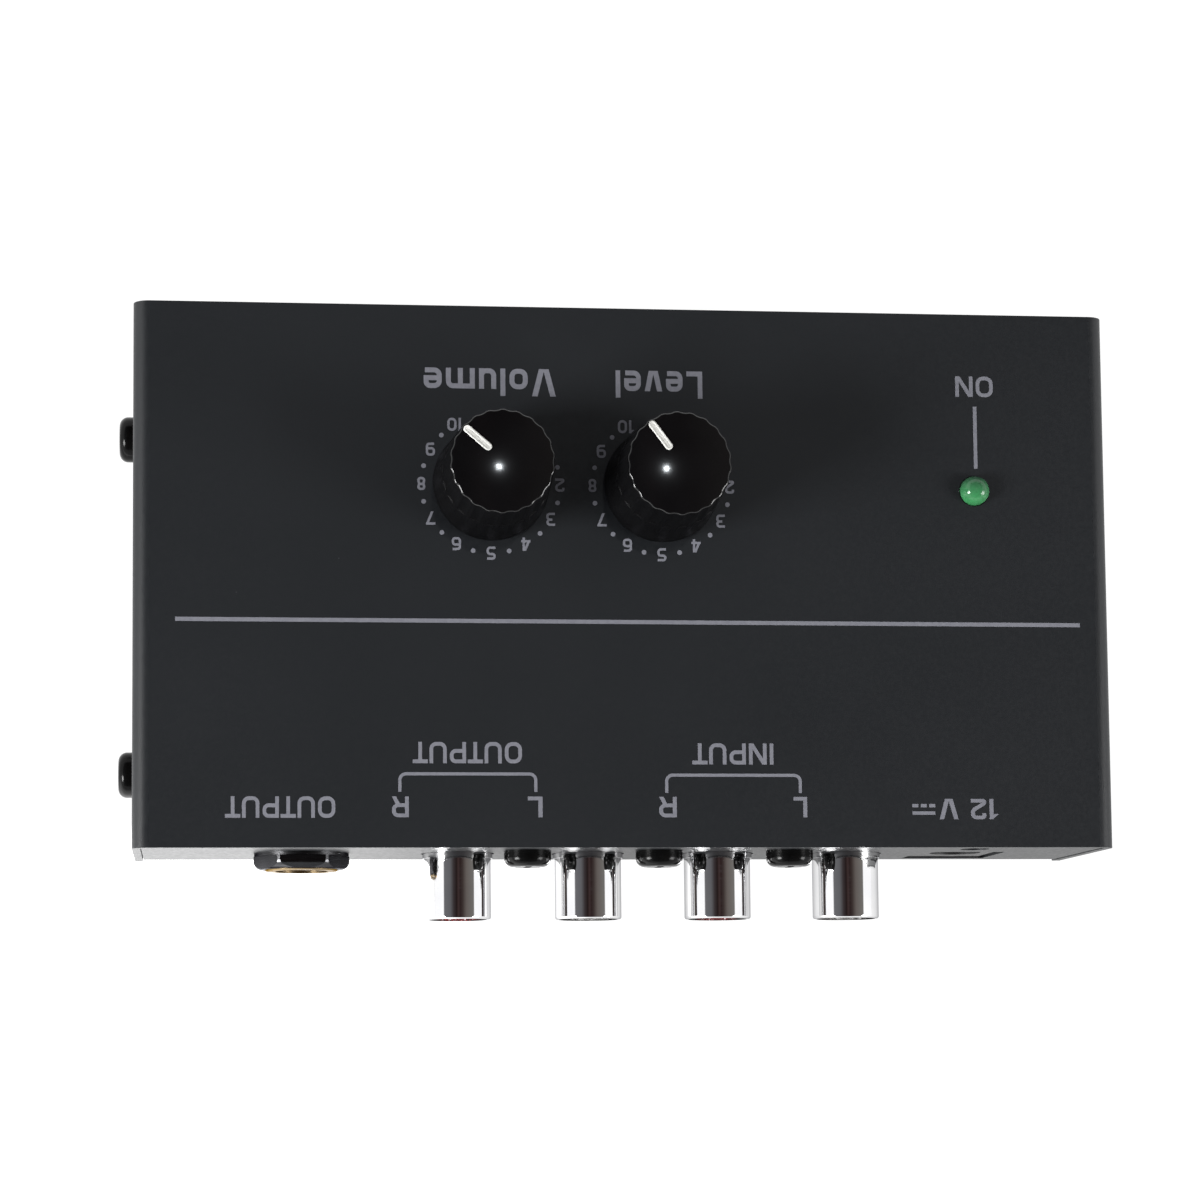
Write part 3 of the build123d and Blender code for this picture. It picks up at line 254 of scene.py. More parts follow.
def banded_resistors():
    """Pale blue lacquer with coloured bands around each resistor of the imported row."""
    low, high = node_box("resistors")
    columns = 6
    body = 6.3
    spacing = (high.x - low.x - body) / (columns - 1)
    coat = Finish("resistor_coat", Coat_Weight=0.3)
    from_first = coat.maths("ADD", coat.axis(0), -low.x)
    along = coat.maths("FLOORED_MODULO", from_first, spacing)
    skin = coat.noise(0.4, detail=2)
    colour = coat.blend(coat.fit(skin, 0.3, 0.7, 0, 1), (0.16, 0.38, 0.52), (0.22, 0.46, 0.60))
    brown, black, red = (0.25, 0.05, 0.01), (0.01, 0.01, 0.01), (0.45, 0.02, 0.01)
    band_half_width, blur = 0.30, 0.02
    for middle, band_colour in ((1.0, brown), (2.2, black), (3.3, red), (5.2, brown)):
        distance = coat.maths("ABSOLUTE", coat.maths("SUBTRACT", along, middle))
        band = coat.fit(distance, band_half_width - blur, band_half_width + blur, 1, 0)
        colour = coat.blend(band, colour, band_colour)
    coat.colour(colour)
    coat.roughness(skin, 0.25, 0.35)
    coat.bump(skin, 0.01)
    return coat.material


ink_finish = printed_ink()
along_y = (1, 30, 1)
along_z = (1, 1, 30)
around_y = (30, 1, 30)
around_z = (30, 30, 1)
finishes = {
    "case_paint": satin_paint(),
    "knob_plastic": knob_plastic(),
    "lamp_green": green_lens(),
    "board_laminate": board_laminate(),
    "resistor_coat": banded_resistors(),
}
plastics = {
    "foot_rubber": dict(
        first=(0.016, 0.016, 0.017), second=(0.026, 0.026, 0.027), grain=0.25, depth=0.02,
        low=0.7, high=0.85,
    ),
    "black_screw": dict(
        first=(0.002, 0.002, 0.002), second=(0.004, 0.004, 0.004), grain=0.2, depth=0.001,
        low=0.14, high=0.2, Specular_IOR_Level=0.12,
    ),
    "pointer_white": dict(first=(0.55, 0.55, 0.52), second=(0.74, 0.74, 0.71), grain=0.12, depth=0.006),
    "black_plastic": dict(first=(0.014, 0.014, 0.015), second=(0.022, 0.022, 0.023)),
    "red_plastic": dict(first=(0.42, 0.012, 0.010), second=(0.52, 0.022, 0.016), low=0.25, high=0.4),
    "white_plastic": dict(first=(0.66, 0.65, 0.60), second=(0.76, 0.75, 0.71), low=0.25, high=0.4),
    "pot_plastic": dict(first=(0.014, 0.06, 0.03), second=(0.022, 0.085, 0.045)),
    "pot_element": dict(first=(0.05, 0.025, 0.015), second=(0.08, 0.045, 0.03), grain=0.2),
    "nylon": dict(first=(0.62, 0.60, 0.52), second=(0.72, 0.71, 0.64)),
    "capacitor_sleeve": dict(first=(0.010, 0.016, 0.06), second=(0.016, 0.026, 0.09), low=0.2, high=0.3),
    "film_capacitor_case": dict(first=(0.36, 0.045, 0.02), second=(0.46, 0.075, 0.035), low=0.2, high=0.3),
}
metals = {
    "steel": dict(
        first=(0.50, 0.50, 0.49), second=(0.60, 0.60, 0.59), stretch=around_y, low=0.25, high=0.4,
    ),
    "chrome": dict(
        first=(0.76, 0.76, 0.77), second=(0.82, 0.82, 0.82), stretch=around_y, grain=0.3, depth=0.0004,
        low=0.03, high=0.07, Specular_Tint=(0.45, 0.45, 0.46, 1.0),
    ),
    "dark_nickel": dict(
        first=(0.055, 0.055, 0.058), second=(0.075, 0.075, 0.078), stretch=around_y, grain=0.1,
        low=0.2, high=0.3, Specular_Tint=(0.25, 0.25, 0.26, 1.0),
    ),
    "brass": dict(
        first=(0.21, 0.155, 0.09), second=(0.26, 0.20, 0.12), stretch=around_y, grain=0.08, depth=0.002,
        Specular_Tint=(0.30, 0.24, 0.15, 1.0),
    ),
    "contact_metal": dict(first=(0.62, 0.58, 0.48), second=(0.70, 0.67, 0.58), stretch=along_y),
    "tinned_wire": dict(
        first=(0.58, 0.58, 0.56), second=(0.68, 0.68, 0.66), stretch=along_z, low=0.3, high=0.45,
    ),
    "pot_metal": dict(first=(0.64, 0.64, 0.64), second=(0.74, 0.74, 0.74), stretch=around_z),
}
finishes.update({name: grained_plastic(name, **look) for name, look in plastics.items()})
finishes.update({name: bare_metal(name, **look) for name, look in metals.items()})

for subpart in frame["record"]["subparts"]:
    shown = frame["nodes"][subpart["node"]]
    shown.data.materials.clear()
    shown.data.materials.append(finishes[subpart["material_slot"]])

# ---------------------------------------------------------------- pieces


def add_piece(name, mesh_builder, body, finish, smooth_angle=None):
    """Turn a finished bmesh in millimetres into a piece that rides on a body."""
    bmesh.ops.scale(mesh_builder, vec=(MILLIMETRE,) * 3, verts=mesh_builder.verts)
    mesh = bpy.data.meshes.new(name)
    mesh_builder.to_mesh(mesh)
    mesh_builder.free()
    mesh.materials.append(finish)
    if smooth_angle is not None:
        mesh.shade_smooth()
        mesh.set_sharp_from_angle(angle=math.radians(smooth_angle))
    piece = bpy.data.objects.new(name, mesh)
    bpy.context.collection.objects.link(piece)
    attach(piece, body)
    return piece


# ---------------------------------------------------------------- lettering

# Outlines are drawn in a glyph's own units: the cap height is 1 and the baseline is at 0.

stroke_weight = 0.18
half_stroke = stroke_weight / 2
x_height = 0.75
corner_radius = 0.24
arc_steps = 6
letter_gap = 0.15
tight_gap = 0.08
word_gap = 0.42


def rounded(corners, radius=corner_radius, closed=False):
    """The corners as a line whose turns are arcs, each as large as its two sides allow."""
    corners = [Vector(corner) for corner in corners]
    line = []
    for i, corner in enumerate(corners):
        if not closed and i in (0, len(corners) - 1):
            line.append(corner)
            continue
        back = corners[i - 1] - corner
        on = corners[(i + 1) % len(corners)] - corner
        half_turn = (math.pi - back.angle(on)) / 2
        reach = min(radius * math.tan(half_turn), 0.499 * back.length, 0.499 * on.length)
        start = corner + reach * back.normalized()
        centre = corner + (back.normalized() + on.normalized()).normalized() * reach / math.sin(half_turn)
        spoke = start - centre
        sweep = spoke.angle_signed(corner + reach * on.normalized() - centre)
        for step in range(arc_steps + 1):
            line.append(centre + Matrix.Rotation(-sweep * step / arc_steps, 2) @ spoke)
    return line


def ribbon(line, width=stroke_weight, closed=False):
    """Four-sided pieces, mitred at the corners, that cover a line of this width."""
    line = [Vector(point) for point in line]
    count = len(line)
    sides = []
    for i, point in enumerate(line):
        has_back = closed or i > 0
        has_on = closed or i < count - 1
        back = (point - line[i - 1]).normalized() if has_back else None
        on = (line[(i + 1) % count] - point).normalized() if has_on else back
        back = back or on
        normal_back = Vector((-back.y, back.x))
        normal_on = Vector((-on.y, on.x))
        mitre = (normal_back + normal_on).normalized()
        mitre *= width / 2 / max(mitre.dot(normal_on), 0.3)
        sides.append((point + mitre, point - mitre))
    last = count if closed else count - 1
    return [
        [sides[i][0], sides[i][1], sides[(i + 1) % count][1], sides[(i + 1) % count][0]]
        for i in range(last)
    ]


def slanted(top_x, bottom_x, bottom=0.0, top=1.0, width=1.12 * stroke_weight):
    """A slanted bar whose ends are cut level; top_x and bottom_x are its middles there."""
    half = width / 2
    corners = (
        (bottom_x - half, bottom),
        (bottom_x + half, bottom),
        (top_x + half, top),
        (top_x - half, top),
    )
    return [[Vector(corner) for corner in corners]]


def box_loop(left, bottom, right, top, radius):
    """A closed line with rounded corners."""
    corners = [(left, bottom), (right, bottom), (right, top), (left, top)]
    return ribbon(rounded(corners, radius, closed=True), closed=True)


def glyph(character):
    """Outline pieces and width of one character."""
    low, high, left = half_stroke, 1 - half_stroke, half_stroke
    lower_high = x_height - half_stroke
    if character in "OU":
        width = 0.84
        right = width - half_stroke
        if character == "O":
            return box_loop(left, low, right, high, 0.27), width
        return ribbon(rounded([(left, 1), (left, low), (right, low), (right, 1)])), width
    if character == "T":
        width = 0.74
        return ribbon([(0, high), (width, high)]) + ribbon([(width / 2, 0), (width / 2, high)]), width
    if character in "PR":
        width = 0.79
        right, middle = width - half_stroke, 0.42
        bowl = [(0, high), (right, high), (right, middle), (left, middle)]
        shape = ribbon(rounded(bowl, 0.2)) + ribbon([(left, 0), (left, 1)])
        if character == "R":
            shape += slanted(0.62 * width, width - 0.55 * stroke_weight, 0, middle)
        return shape, width
    if character == "L":
        return ribbon([(left, 1), (left, low), (0.62, low)]), 0.62
    if character == "N":
        width = 0.86
        right = width - half_stroke
        stems = ribbon([(left, 0), (left, 1)]) + ribbon([(right, 0), (right, 1)])
        return stems + slanted(left + 0.02, right - 0.02, width=1.2 * stroke_weight), width
    if character == "I":
        return ribbon([(left, 0), (left, 1)]), stroke_weight
    if character in "Vv":
        width, top = (0.86, 1.0) if character == "V" else (0.68, x_height)
        edge, centre = 0.56 * stroke_weight, width / 2
        reach = 0.42 * stroke_weight
        return slanted(edge, centre - reach, 0, top) + slanted(width - edge, centre + reach, 0, top), width
    if character == "o":
        return box_loop(left, low, 0.66 - half_stroke, lower_high, 0.2), 0.66
    if character == "l":
        return ribbon([(left, 0), (left, 1)]), stroke_weight
    if character == "u":
        width = 0.62
        right = width - half_stroke
        bowl = [(left, x_height), (left, low), (right, low), (right, x_height)]
        return ribbon(rounded(bowl, 0.17)) + ribbon([(right, 0), (right, x_height)]), width
    if character == "m":
        width = 1.04
        right = width - half_stroke
        arch = [(left, lower_high), (right, lower_high), (right, 0)]
        shape = ribbon(rounded(arch, 0.17)) + ribbon([(left, 0), (left, x_height)])
        return shape + ribbon([(width / 2, 0), (width / 2, lower_high)]), width
    if character == "e":
        width = 0.65
        right, middle = width - half_stroke, 0.5 * x_height
        bar = [(left, middle), (right, middle)]
        bowl = [(right, middle), (right, lower_high), (left, lower_high), (left, low), (0.93 * width, low)]
        return ribbon(bar + rounded(bowl, 0.18)[1:]), width
    return digit(character)


def digit(character):
    """Outline pieces and width of a figure."""
    width, low, high, left = 0.70, half_stroke, 1 - half_stroke, half_stroke
    right, middle = width - half_stroke, 0.53
    turn = 0.19
    if character == "0":
        return box_loop(left, low, right, high, 0.25), width
    if character == "1":
        stem = ribbon([(0.42 - half_stroke, 0), (0.42 - half_stroke, 1)])
        return stem + slanted(0.36, 0.10, 0.74, 0.97), 0.42
    swan_neck = [(left, 0.70), (left, high), (right, high), (right, 0.56), (left, 0.22)]
    paths = {
        "2": [swan_neck + [(left, low), (width, low)]],
        "3": [
            [(0.04, high), (right, high), (right, middle), (0.24, middle)],
            [(0.24, middle), (right, middle), (right, low), (0.04, low)],
        ],
        "5": [[(0.95 * width, high), (left, high), (left, 0.57), (right, 0.57), (right, low), (0.03, low)]],
        "6": [[(0.9 * width, high), (left, high), (left, low), (right, low), (right, 0.57), (left, 0.57)]],
        "9": [[(0.1 * width, low), (right, low), (right, high), (left, high), (left, 0.43), (right, 0.43)]],
    }
    if character in paths:
        return [quad for path in paths[character] for quad in ribbon(rounded(path, turn))], width
    if character == "4":
        bars = ribbon([(0, 0.27), (width, 0.27)]) + ribbon([(0.72 * width, 0), (0.72 * width, 1)])
        return bars + slanted(0.62 * width, 0.11, 0.25), width
    if character == "7":
        return ribbon([(0, high), (width, high)]) + slanted(width - 0.09, 0.24, 0, high), width
    left_waist, right_waist = (left + 0.11, middle), (right - 0.11, middle)
    outline = [(left, low), (right, low), right_waist, (right, high), (left, high), left_waist]
    loops = ribbon(rounded(outline, 0.22, closed=True), closed=True)
    return loops + ribbon([left_waist, right_waist]), width


def shifted(shape, x, y, scale_x=1.0, scale_y=1.0):
    """A shape scaled about its own origin and then moved."""
    return [[Vector((x + scale_x * p.x, y + scale_y * p.y)) for p in polygon] for polygon in shape]


def set_line(text):
    """The characters of a line side by side, as one mark each, and the line's width."""
    marks, x = [], 0.0
    for i, character in enumerate(text):
        if character == " ":
            x += word_gap
            continue
        shape, width = glyph(character)
        marks.append(shifted(shape, x, 0))
        x += width
        if i + 1 < len(text):
            x += tight_gap if "T" in text[i:i + 2] else letter_gap
    return marks, x


def word_marks(text, left, right, baseline, cap):
    """A word set between two sides, in millimetres."""
    marks, width = set_line(text)
    return [shifted(mark, left, baseline, (right - left) / width, cap) for mark in marks]


def figure_marks(text, centre, height):
    """A figure centred on a point, in millimetres."""
    marks, width = set_line(text)
    left = centre.x - height * width / 2
    return [shifted(mark, left, centre.y - height / 2, height, height) for mark in marks]


def disc(centre, radius, sides=20):
    """A round polygon."""
    turns = [2 * math.pi * i / sides for i in range(sides)]
    return [[centre + radius * Vector((math.cos(a), math.sin(a))) for a in turns]]


def triangulated(shapes):
    """The union of overlapping polygons, as points and the triangles between them."""
    points = [point for polygon in shapes for point in polygon]
    faces, start = [], 0
    for polygon in shapes:
        faces.append(list(range(start, start + len(polygon))))
        start += len(polygon)
    flat, _, triangles, _, _, covered_by = geometry.delaunay_2d_cdt(points, [], faces, 1, 1e-5)
    return flat, [triangle for triangle, cover in zip(triangles, covered_by) if cover]


ink_thickness = 0.02
ink_sink = 0.005


def printed(name, marks):
    """Flat ink with a real thickness, lying on the cover: each mark is the union of its polygons."""
    ink = bmesh.new()
    for mark in marks:
        flat, triangles = triangulated(mark)
        under = [ink.verts.new((p.x, p.y, cover_top - ink_sink)) for p in flat]
        over = [ink.verts.new((p.x, p.y, cover_top + ink_thickness)) for p in flat]
        sides = set()
        for triangle in triangles:
            ink.faces.new([over[i] for i in triangle])
            ink.faces.new([under[i] for i in reversed(triangle)])
            sides.update(zip(triangle, triangle[1:] + triangle[:1]))
        for i, j in sides:
            if (j, i) not in sides:
                ink.faces.new([under[i], under[j], over[j], over[i]])
    bmesh.ops.delete(ink, geom=[v for v in ink.verts if not v.link_faces], context="VERTS")
    add_piece(name, ink, "case", ink_finish)


# what each word says, its left and right ends, its baseline and its cap height
words = {
    "print_volume_word": ("Volume", 8.80, 24.95, -29.45, 3.38),
    "print_level_word": ("Level", -9.30, 1.42, -29.45, 3.38),
    "print_on_word": ("ON", -45.70, -40.96, -29.38, 2.58),
    "print_output_pair_word": ("OUTPUT", 13.28, 26.50, 16.31, 2.58),
    "print_input_word": ("INPUT", -17.47, -7.47, 16.38, 2.58),
    "print_output_jack_word": ("OUTPUT", 35.79, 48.94, 22.90, 2.58),
    "print_output_right": ("R", 26.98, 29.00, 22.90, 2.50),
    "print_output_left": ("L", 10.83, 12.61, 22.90, 2.50),
    "print_input_right": ("R", -5.51, -3.35, 22.90, 2.50),
    "print_input_left": ("L", -21.54, -19.87, 22.90, 2.50),
    "print_voltage": ("12 V", -45.34, -37.94, 23.12, 2.50),
}
for word_name, setting in words.items():
    printed(word_name, word_marks(*setting))

rule_y, rule_left, rule_right, rule_width = 1.60, -56.05, 54.90, 0.50
lamp_line_x, lamp_line_start, lamp_line_end, lamp_line_width = -43.35, -25.58, -17.80, 0.46
printed("print_rule", [ribbon([(rule_left, rule_y), (rule_right, rule_y)], rule_width)])
lamp_line = [(lamp_line_x, lamp_line_start), (lamp_line_x, lamp_line_end)]
printed("print_lamp_line", [ribbon(lamp_line, lamp_line_width)])

bracket_width, bracket_radius, bracket_leg = 0.38, 0.75, 2.35
for bracket_name, bracket_left, bracket_right, bracket_low in (
    ("print_output_bracket", 11.45, 28.24, 19.98),
    ("print_input_bracket", -20.92, -4.12, 20.08),
):
    left = bracket_left + bracket_width / 2
    right = bracket_right - bracket_width / 2
    low = bracket_low + bracket_width / 2
    leg_end = bracket_low + bracket_leg
    corners = [(left, leg_end), (left, low), (right, low), (right, leg_end)]
    printed(bracket_name, [ribbon(rounded(corners, bracket_radius), bracket_width)])

# direct-current sign: a bar over three dashes, with gaps between them
sign_left, sign_right, sign_bar_y, sign_dash_y, sign_width = -37.41, -34.57, 24.86, 23.95, 0.42
sign_dashes = 3
gap_per_dash = 0.4
dash = (sign_right - sign_left) / (sign_dashes + (sign_dashes - 1) * gap_per_dash)
sign = [ribbon([(sign_left, sign_bar_y), (sign_right, sign_bar_y)], sign_width)]
for i in range(sign_dashes):
    dash_left = sign_left + (1 + gap_per_dash) * dash * i
    sign.append(ribbon([(dash_left, sign_dash_y), (dash_left + dash, sign_dash_y)], sign_width))
printed("print_direct_current_sign", sign)

dial_radius, dial_steps, dial_sweep = 8.45, 10, 300.0
dial_figure_height, dial_dot_radius = 1.62, 0.29


def dial_point(centre, angle):
    """A point on the dial, at an angle clockwise from +Y."""
    turn = math.radians(angle)
    return centre + dial_radius * Vector((math.sin(turn), math.cos(turn)))


def print_dial(name, centre):
    """Numbers from 0 to 10 with a dot between each two."""
    marks = []
    step = dial_sweep / dial_steps
    for number in range(dial_steps + 1):
        angle = number * step - dial_sweep / 2
        marks += figure_marks(str(number), dial_point(centre, angle), dial_figure_height)
        if number < dial_steps:
            marks.append(disc(dial_point(centre, angle + step / 2), dial_dot_radius))
    printed(name, marks)


# ---------------------------------------------------------------- knobs and pointers

joint_of = {joint["child"]: joint for joint in frame["joints"]}
knob_base_radius = 7.1
knob_top_radius = 6.2
knob_dome = 0.5
knob_rim_edge = 0.28
knob_foot_chamfer = 0.2
knob_wall = 1.4
knob_boss_radius = 4.5
knob_bore_radius = 3.02
knob_bore_depth = 7.7
knob_hollow_depth = 8.6
flute_count = 22
flute_radius = 2.0
flute_depth = 0.14
flute_length = 6.6
flute_softness = 0.04
flute_ledge_rise = 0.10
steps_per_flute = 22
pointer_inner, pointer_outer = 1.9, 6.0
pointer_width = 0.9


def soft_minimum(a, b, softness):
    """The smaller of two values, with the crossing rounded off."""
    blend = max(softness - abs(a - b), 0) / softness
    return min(a, b) - blend * blend * softness / 4


class KnobShape:
    """The surface of a fluted knob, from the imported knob's own height."""

    def __init__(self, node):
        low, high = node_box(node)
        self.bottom = low.z
        self.height = high.z - low.z
        self.rim = self.height - knob_dome
        self.ledge = self.rim - flute_length
        self.dome_radius = (knob_top_radius ** 2 + knob_dome ** 2) / (2 * knob_dome)

    def dome(self, radius):
        """Height of the dome at a radius."""
        return self.height - self.dome_radius + math.sqrt(self.dome_radius ** 2 - radius ** 2)

    def flank(self, z, angle):
        """Radius of the flank at a height; the angle is measured from the middle of a flute."""
        cone = knob_base_radius + (knob_top_radius - knob_base_radius) * z / self.rim
        if z <= self.ledge:
            return cone
        axis = cone + flute_radius - flute_depth
        across = axis * math.sin(angle)
        if abs(across) >= flute_radius:
            return cone
        groove = axis * math.cos(angle) - math.sqrt(flute_radius ** 2 - across ** 2)
        ledge_slope = cone - (z - self.ledge) * flute_depth / flute_ledge_rise
        return soft_minimum(cone, max(groove, ledge_slope), flute_softness)

    def rim_edge(self, angle, quarter):
        """Radius and height on the rounded rim, for an angle up from the flank."""
        outer = self.flank(self.rim, angle)
        lowest = self.dome(outer - knob_rim_edge) - knob_rim_edge
        return outer - knob_rim_edge * (1 - math.cos(quarter)), lowest + knob_rim_edge * math.sin(quarter)

    def top(self, angle, share):
        """Radius and height on the dome, for a share of the way out to the rounded rim."""
        radius = share * (self.flank(self.rim, angle) - knob_rim_edge)
        return radius, self.dome(radius)

    def flank_heights(self):
        """Where the flank has a ring: few below the ledge, close ones up its slope and along the flutes."""
        below = [0.25, 2.5, 5.0]
        slope_steps, flute_steps = 6, 10
        slope = [self.ledge + flute_ledge_rise * i / slope_steps for i in range(slope_steps)]
        flute_bottom = self.ledge + flute_ledge_rise
        run = self.rim - knob_rim_edge - flute_bottom
        return below + slope + [flute_bottom + run * i / flute_steps for i in range(flute_steps + 1)]


def make_knob(shape, centre, turn):
    """A fluted black knob with rounded edges, hollow underneath, turned clockwise to its rest angle."""
    count = flute_count * steps_per_flute
    pitch = 2 * math.pi / flute_count
    rim_steps = 5
    dome_shares = (0.93, 0.84, 0.72, 0.58, 0.44, 0.30, 0.16, 0.0)
    inner_wall = knob_base_radius - knob_wall
    knob = bmesh.new()
    rings = []

    def ring(radius_and_height):
        """One ring of points, from a function of the angle off the middle of a flute."""
        made = []
        for i in range(count):
            angle = 2 * math.pi * i / count
            radius, z = radius_and_height(angle % pitch - pitch / 2)
            around = angle - math.radians(turn)
            x = centre.x - radius * math.sin(around)
            y = centre.y + radius * math.cos(around)
            made.append(knob.verts.new((x, y, shape.bottom + z)))
        rings.append(made)

    # from the middle of the bore, down and out over the underside, up the flank and in over the dome
    for radius, z in (
        (0.0, knob_bore_depth),
        (knob_bore_radius, knob_bore_depth),
        (knob_bore_radius, 0.0),
        (knob_boss_radius, 0.0),
        (knob_boss_radius, knob_hollow_depth),
        (inner_wall, knob_hollow_depth),
        (inner_wall, 0.0),
        (knob_base_radius - knob_foot_chamfer, 0.0),
    ):
        ring(lambda angle: (radius, z))
    for z in shape.flank_heights():
        ring(lambda angle: (shape.flank(z, angle), z))
    for i in range(1, rim_steps + 1):
        ring(lambda angle: shape.rim_edge(angle, math.pi / 2 * i / rim_steps))
    for share in dome_shares:
        ring(lambda angle: shape.top(angle, share))
    for inner, outer in zip(rings, rings[1:]):
        for i in range(count):
            j = (i + 1) % count
            knob.faces.new((inner[i], inner[j], outer[j], outer[i]))
    bmesh.ops.remove_doubles(knob, verts=knob.verts, dist=1e-4)
    bmesh.ops.recalc_face_normals(knob, faces=knob.faces)
    return knob


def make_pointer(shape, centre, turn):
    """A white bar with raised rounded edges and a shallow channel, lying along the dome near its rim."""
    rise, channel, embed = 0.20, 0.07, 0.6
    radius = pointer_width / 2
    end_steps = 14
    # inset from the side and lift above the dome: up the side, over the rounded edge, into the channel
    profile = (
        (0.0, -embed),
        (0.0, rise - 0.09),
        (0.03, rise - 0.03),
        (0.09, rise),
        (0.15, rise),
        (0.21, rise - 0.03),
        (0.25, rise - channel),
    )
    pointer = bmesh.new()
    turn_matrix = Matrix.Rotation(-math.radians(turn), 2)
    rings = []
    for inset, lift in profile:
        outline = []
        for end, sign in ((pointer_outer - radius, 1), (pointer_inner + radius, -1)):
            for i in range(end_steps + 1):
                angle = math.pi * i / end_steps
                across = (radius - inset) * math.cos(angle) * sign
                along = end + sign * (radius - inset) * math.sin(angle)
                outline.append(Vector((across, along)))
        made = []
        for point in outline:
            turned = turn_matrix @ point
            z = shape.bottom + shape.dome(min(point.length, knob_top_radius)) + lift
            made.append(pointer.verts.new((centre.x + turned.x, centre.y + turned.y, z)))
        rings.append(made)
    count = len(rings[0])
    for lower, upper in zip(rings, rings[1:]):
        for i in range(count):
            j = (i + 1) % count
            pointer.faces.new((lower[i], lower[j], upper[j], upper[i]))
    # the floor of the channel, as strips from one end to the other
    top = rings[-1]
    for i in range(count // 2 - 1):
        j = count - 1 - i
        pointer.faces.new((top[i], top[i + 1], top[j - 1], top[j]))
    pointer.faces.new(list(reversed(rings[0])))
    bmesh.ops.remove_doubles(pointer, verts=pointer.verts, dist=1e-4)
    bmesh.ops.recalc_face_normals(pointer, faces=pointer.faces)
    return pointer


pointer_turns = {"volume": 131.8, "level": 144.6}
for control, pointer_turn in pointer_turns.items():
    body = control + "_control"
    knob_shape = KnobShape(control + "_knob")
    centre = Vector(joint_of[body]["pos_m"]).xy / MILLIMETRE
    knob_mesh = make_knob(knob_shape, centre, pointer_turn)
    knob_piece = add_piece(
        control + "_knob_shell", knob_mesh, body, finishes["knob_plastic"],
        smooth_angle=50,
    )
    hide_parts(control + "_knob")
    bar_mesh = make_pointer(knob_shape, centre, pointer_turn)
    pointer_piece = add_piece(
        control + "_knob_pointer_bar", bar_mesh, body, finishes["pointer_white"],
        smooth_angle=40,
    )
    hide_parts(control + "_knob_pointer")
    print_dial(f"print_{control}_dial", centre)

# ---------------------------------------------------------------- floor, surroundings, lights and camera


def light_table():
    """White translucent table lit from below, brighter behind the rear panel's +X end."""
    white = (1.0, 1.0, 1.0, 1.0)
    table = Finish("light_table", Specular_IOR_Level=0.0, Roughness=0.7, Emission_Color=white)
    usual_glow, bright_glow = 0.99, 2.9
    bright_from_x, bright_to_x = 5, 40
    bright_from_y, bright_to_y = 24, 30
    beside = table.fit(table.axis(0), bright_from_x, bright_to_x, 0, 1)
    behind = table.fit(table.axis(1), bright_from_y, bright_to_y, 0, 1)
    bright = table.maths("MULTIPLY", behind, beside)
    table.feed("Emission Strength", table.fit(bright, 0, 1, usual_glow, bright_glow))
    grain = table.noise(3.0)
    table.colour(table.blend(table.fit(grain, 0.3, 0.7, 0, 1), (0.09, 0.09, 0.09), (0.11, 0.11, 0.11)))
    table.bump(grain, 0.01)
    return table.material


floor_reach_m = 4.0
floor_mesh = bmesh.new()
bmesh.ops.create_grid(floor_mesh, x_segments=8, y_segments=8, size=floor_reach_m)
floor_data = bpy.data.meshes.new("floor")
floor_mesh.to_mesh(floor_data)
floor_mesh.free()
floor_data.materials.append(light_table())
floor = bpy.data.objects.new("floor", floor_data)
bpy.context.collection.objects.link(floor)

wall_brightness = 1.25
wall_colour = (wall_brightness, wall_brightness, 1.01 * wall_brightness)
# where the ceiling fades into the walls, and how far its stripes reach, for a ceiling one unit up
ceiling_side_edge = (1.25, 1.45)
ceiling_end_edge = (1.6, 2.6)
stripes_reach = 1.4
ceiling_stripes = (
    (0.00, (0.20, 0.19, 0.18)),
    (0.25, (0.15, 0.13, 0.12)),
    (0.38, (0.055, 0.040, 0.037)),
    (0.46, (0.028, 0.016, 0.016)),
    (0.52, (0.055, 0.034, 0.033)),
    (0.58, (0.020, 0.012, 0.012)),
    (0.68, (0.05, 0.04, 0.042)),
    (0.80, (0.14, 0.14, 0.15)),
    (1.00, (0.17, 0.17, 0.18)),
)


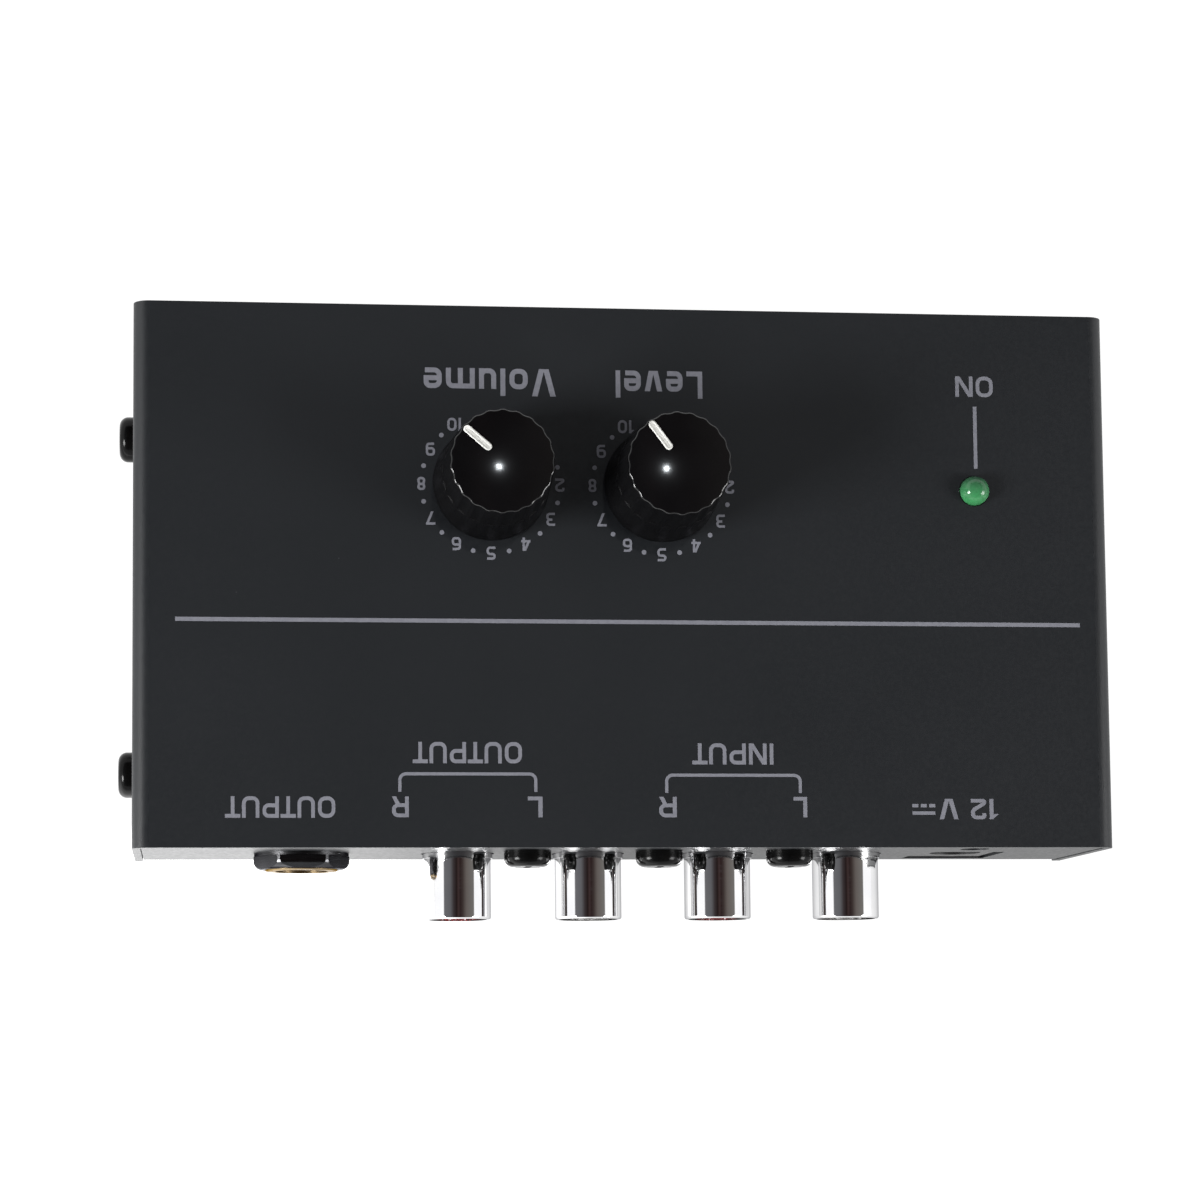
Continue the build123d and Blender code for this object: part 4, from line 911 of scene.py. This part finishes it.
def surroundings():
    """Pale walls all round and a dark ceiling with soft darker and lighter stripes along Y."""
    world = bpy.data.worlds.new("studio")
    world.use_nodes = True
    bpy.context.scene.world = world
    tree = world.node_tree

    def maths(operation, *values):
        return add_node(tree, "ShaderNodeMath", dict(enumerate(values)), operation=operation).outputs[0]

    def fit(value, low, high):
        """A soft rise from 0 to 1 over the value's range from low to high."""
        sockets = {"Value": value, "From Min": low, "From Max": high}
        return add_node(tree, "ShaderNodeMapRange", sockets, interpolation_type="SMOOTHSTEP").outputs[0]

    # where a direction meets a ceiling one unit up, as distances across and along it
    direction = add_node(tree, "ShaderNodeTexCoord").outputs["Generated"]
    axes = add_node(tree, "ShaderNodeSeparateXYZ", {0: direction}).outputs
    height = maths("MAXIMUM", axes["Z"], 0.001)
    across = maths("DIVIDE", axes["X"], height)
    along = maths("DIVIDE", axes["Y"], height)
    beside = fit(maths("ABSOLUTE", across), *ceiling_side_edge)
    beyond = fit(maths("ABSOLUTE", along), *ceiling_end_edge)
    outside = maths("MAXIMUM", beside, beyond)

    stripes = add_node(tree, "ShaderNodeValToRGB", {0: fit(across, -stripes_reach, stripes_reach)})
    ramp = stripes.color_ramp
    while len(ramp.elements) < len(ceiling_stripes):
        ramp.elements.new(0.5)
    for element, (position, colour) in zip(ramp.elements, ceiling_stripes):
        element.position = position
        element.color = (*colour, 1)
    colour = mixed_colour(tree, outside, stripes.outputs[0], wall_colour)
    tree.links.new(colour, tree.nodes["Background"].inputs["Color"])


surroundings()

knobs_middle = mm(6.4, -15.15, 44)


def add_light(name, direction, distance_m, size_m, watts, colour, shape="SQUARE"):
    """An area light that faces the middle of the knobs from a direction."""
    light = bpy.data.lights.new(name, "AREA")
    light.shape = shape
    light.size = size_m
    light.energy = watts
    light.color = colour
    lit = bpy.data.objects.new(name, light)
    bpy.context.collection.objects.link(lit)
    direction = Vector(direction).normalized()
    lit.location = knobs_middle + distance_m * direction
    lit.rotation_mode = "QUATERNION"
    lit.rotation_quaternion = direction.to_track_quat("Z", "Y")


add_light("overhead_lamp", (-0.068, -0.148, 0.987), 2.5, 0.06, 1.7, (0.90, 0.96, 1.0), "DISK")
add_light("left_softbox", (0.85, 0.31, 0.44), 0.9, 0.3, 10.5, (1.0, 1.0, 1.0))
add_light("right_softbox", (-0.85, 0.31, 0.44), 0.9, 0.34, 5.5, (1.0, 1.0, 1.0))

camera_place = mm(52.73, 54.63, 402.92)
camera_forward = Vector((-0.10612, -0.08916, -0.99035))
image_right = Vector((-0.99435, 0.00773, 0.10585))
camera_data = bpy.data.cameras.new("camera")
camera_data.sensor_width = 36.0
camera_data.lens = 94.17
camera_data.shift_x = 0.06
camera_data.shift_y = 0.15
camera_data.clip_start = 0.01
camera_data.clip_end = 50.0
camera = bpy.data.objects.new("camera", camera_data)
bpy.context.collection.objects.link(camera)
image_up = image_right.cross(camera_forward).normalized()
turned = Matrix((image_right.normalized(), image_up, -camera_forward.normalized())).transposed()
camera.rotation_mode = "QUATERNION"
camera.rotation_quaternion = turned.to_quaternion()
camera.location = camera_place
bpy.context.scene.camera = camera
bpy.context.scene.view_settings.view_transform = "Standard"
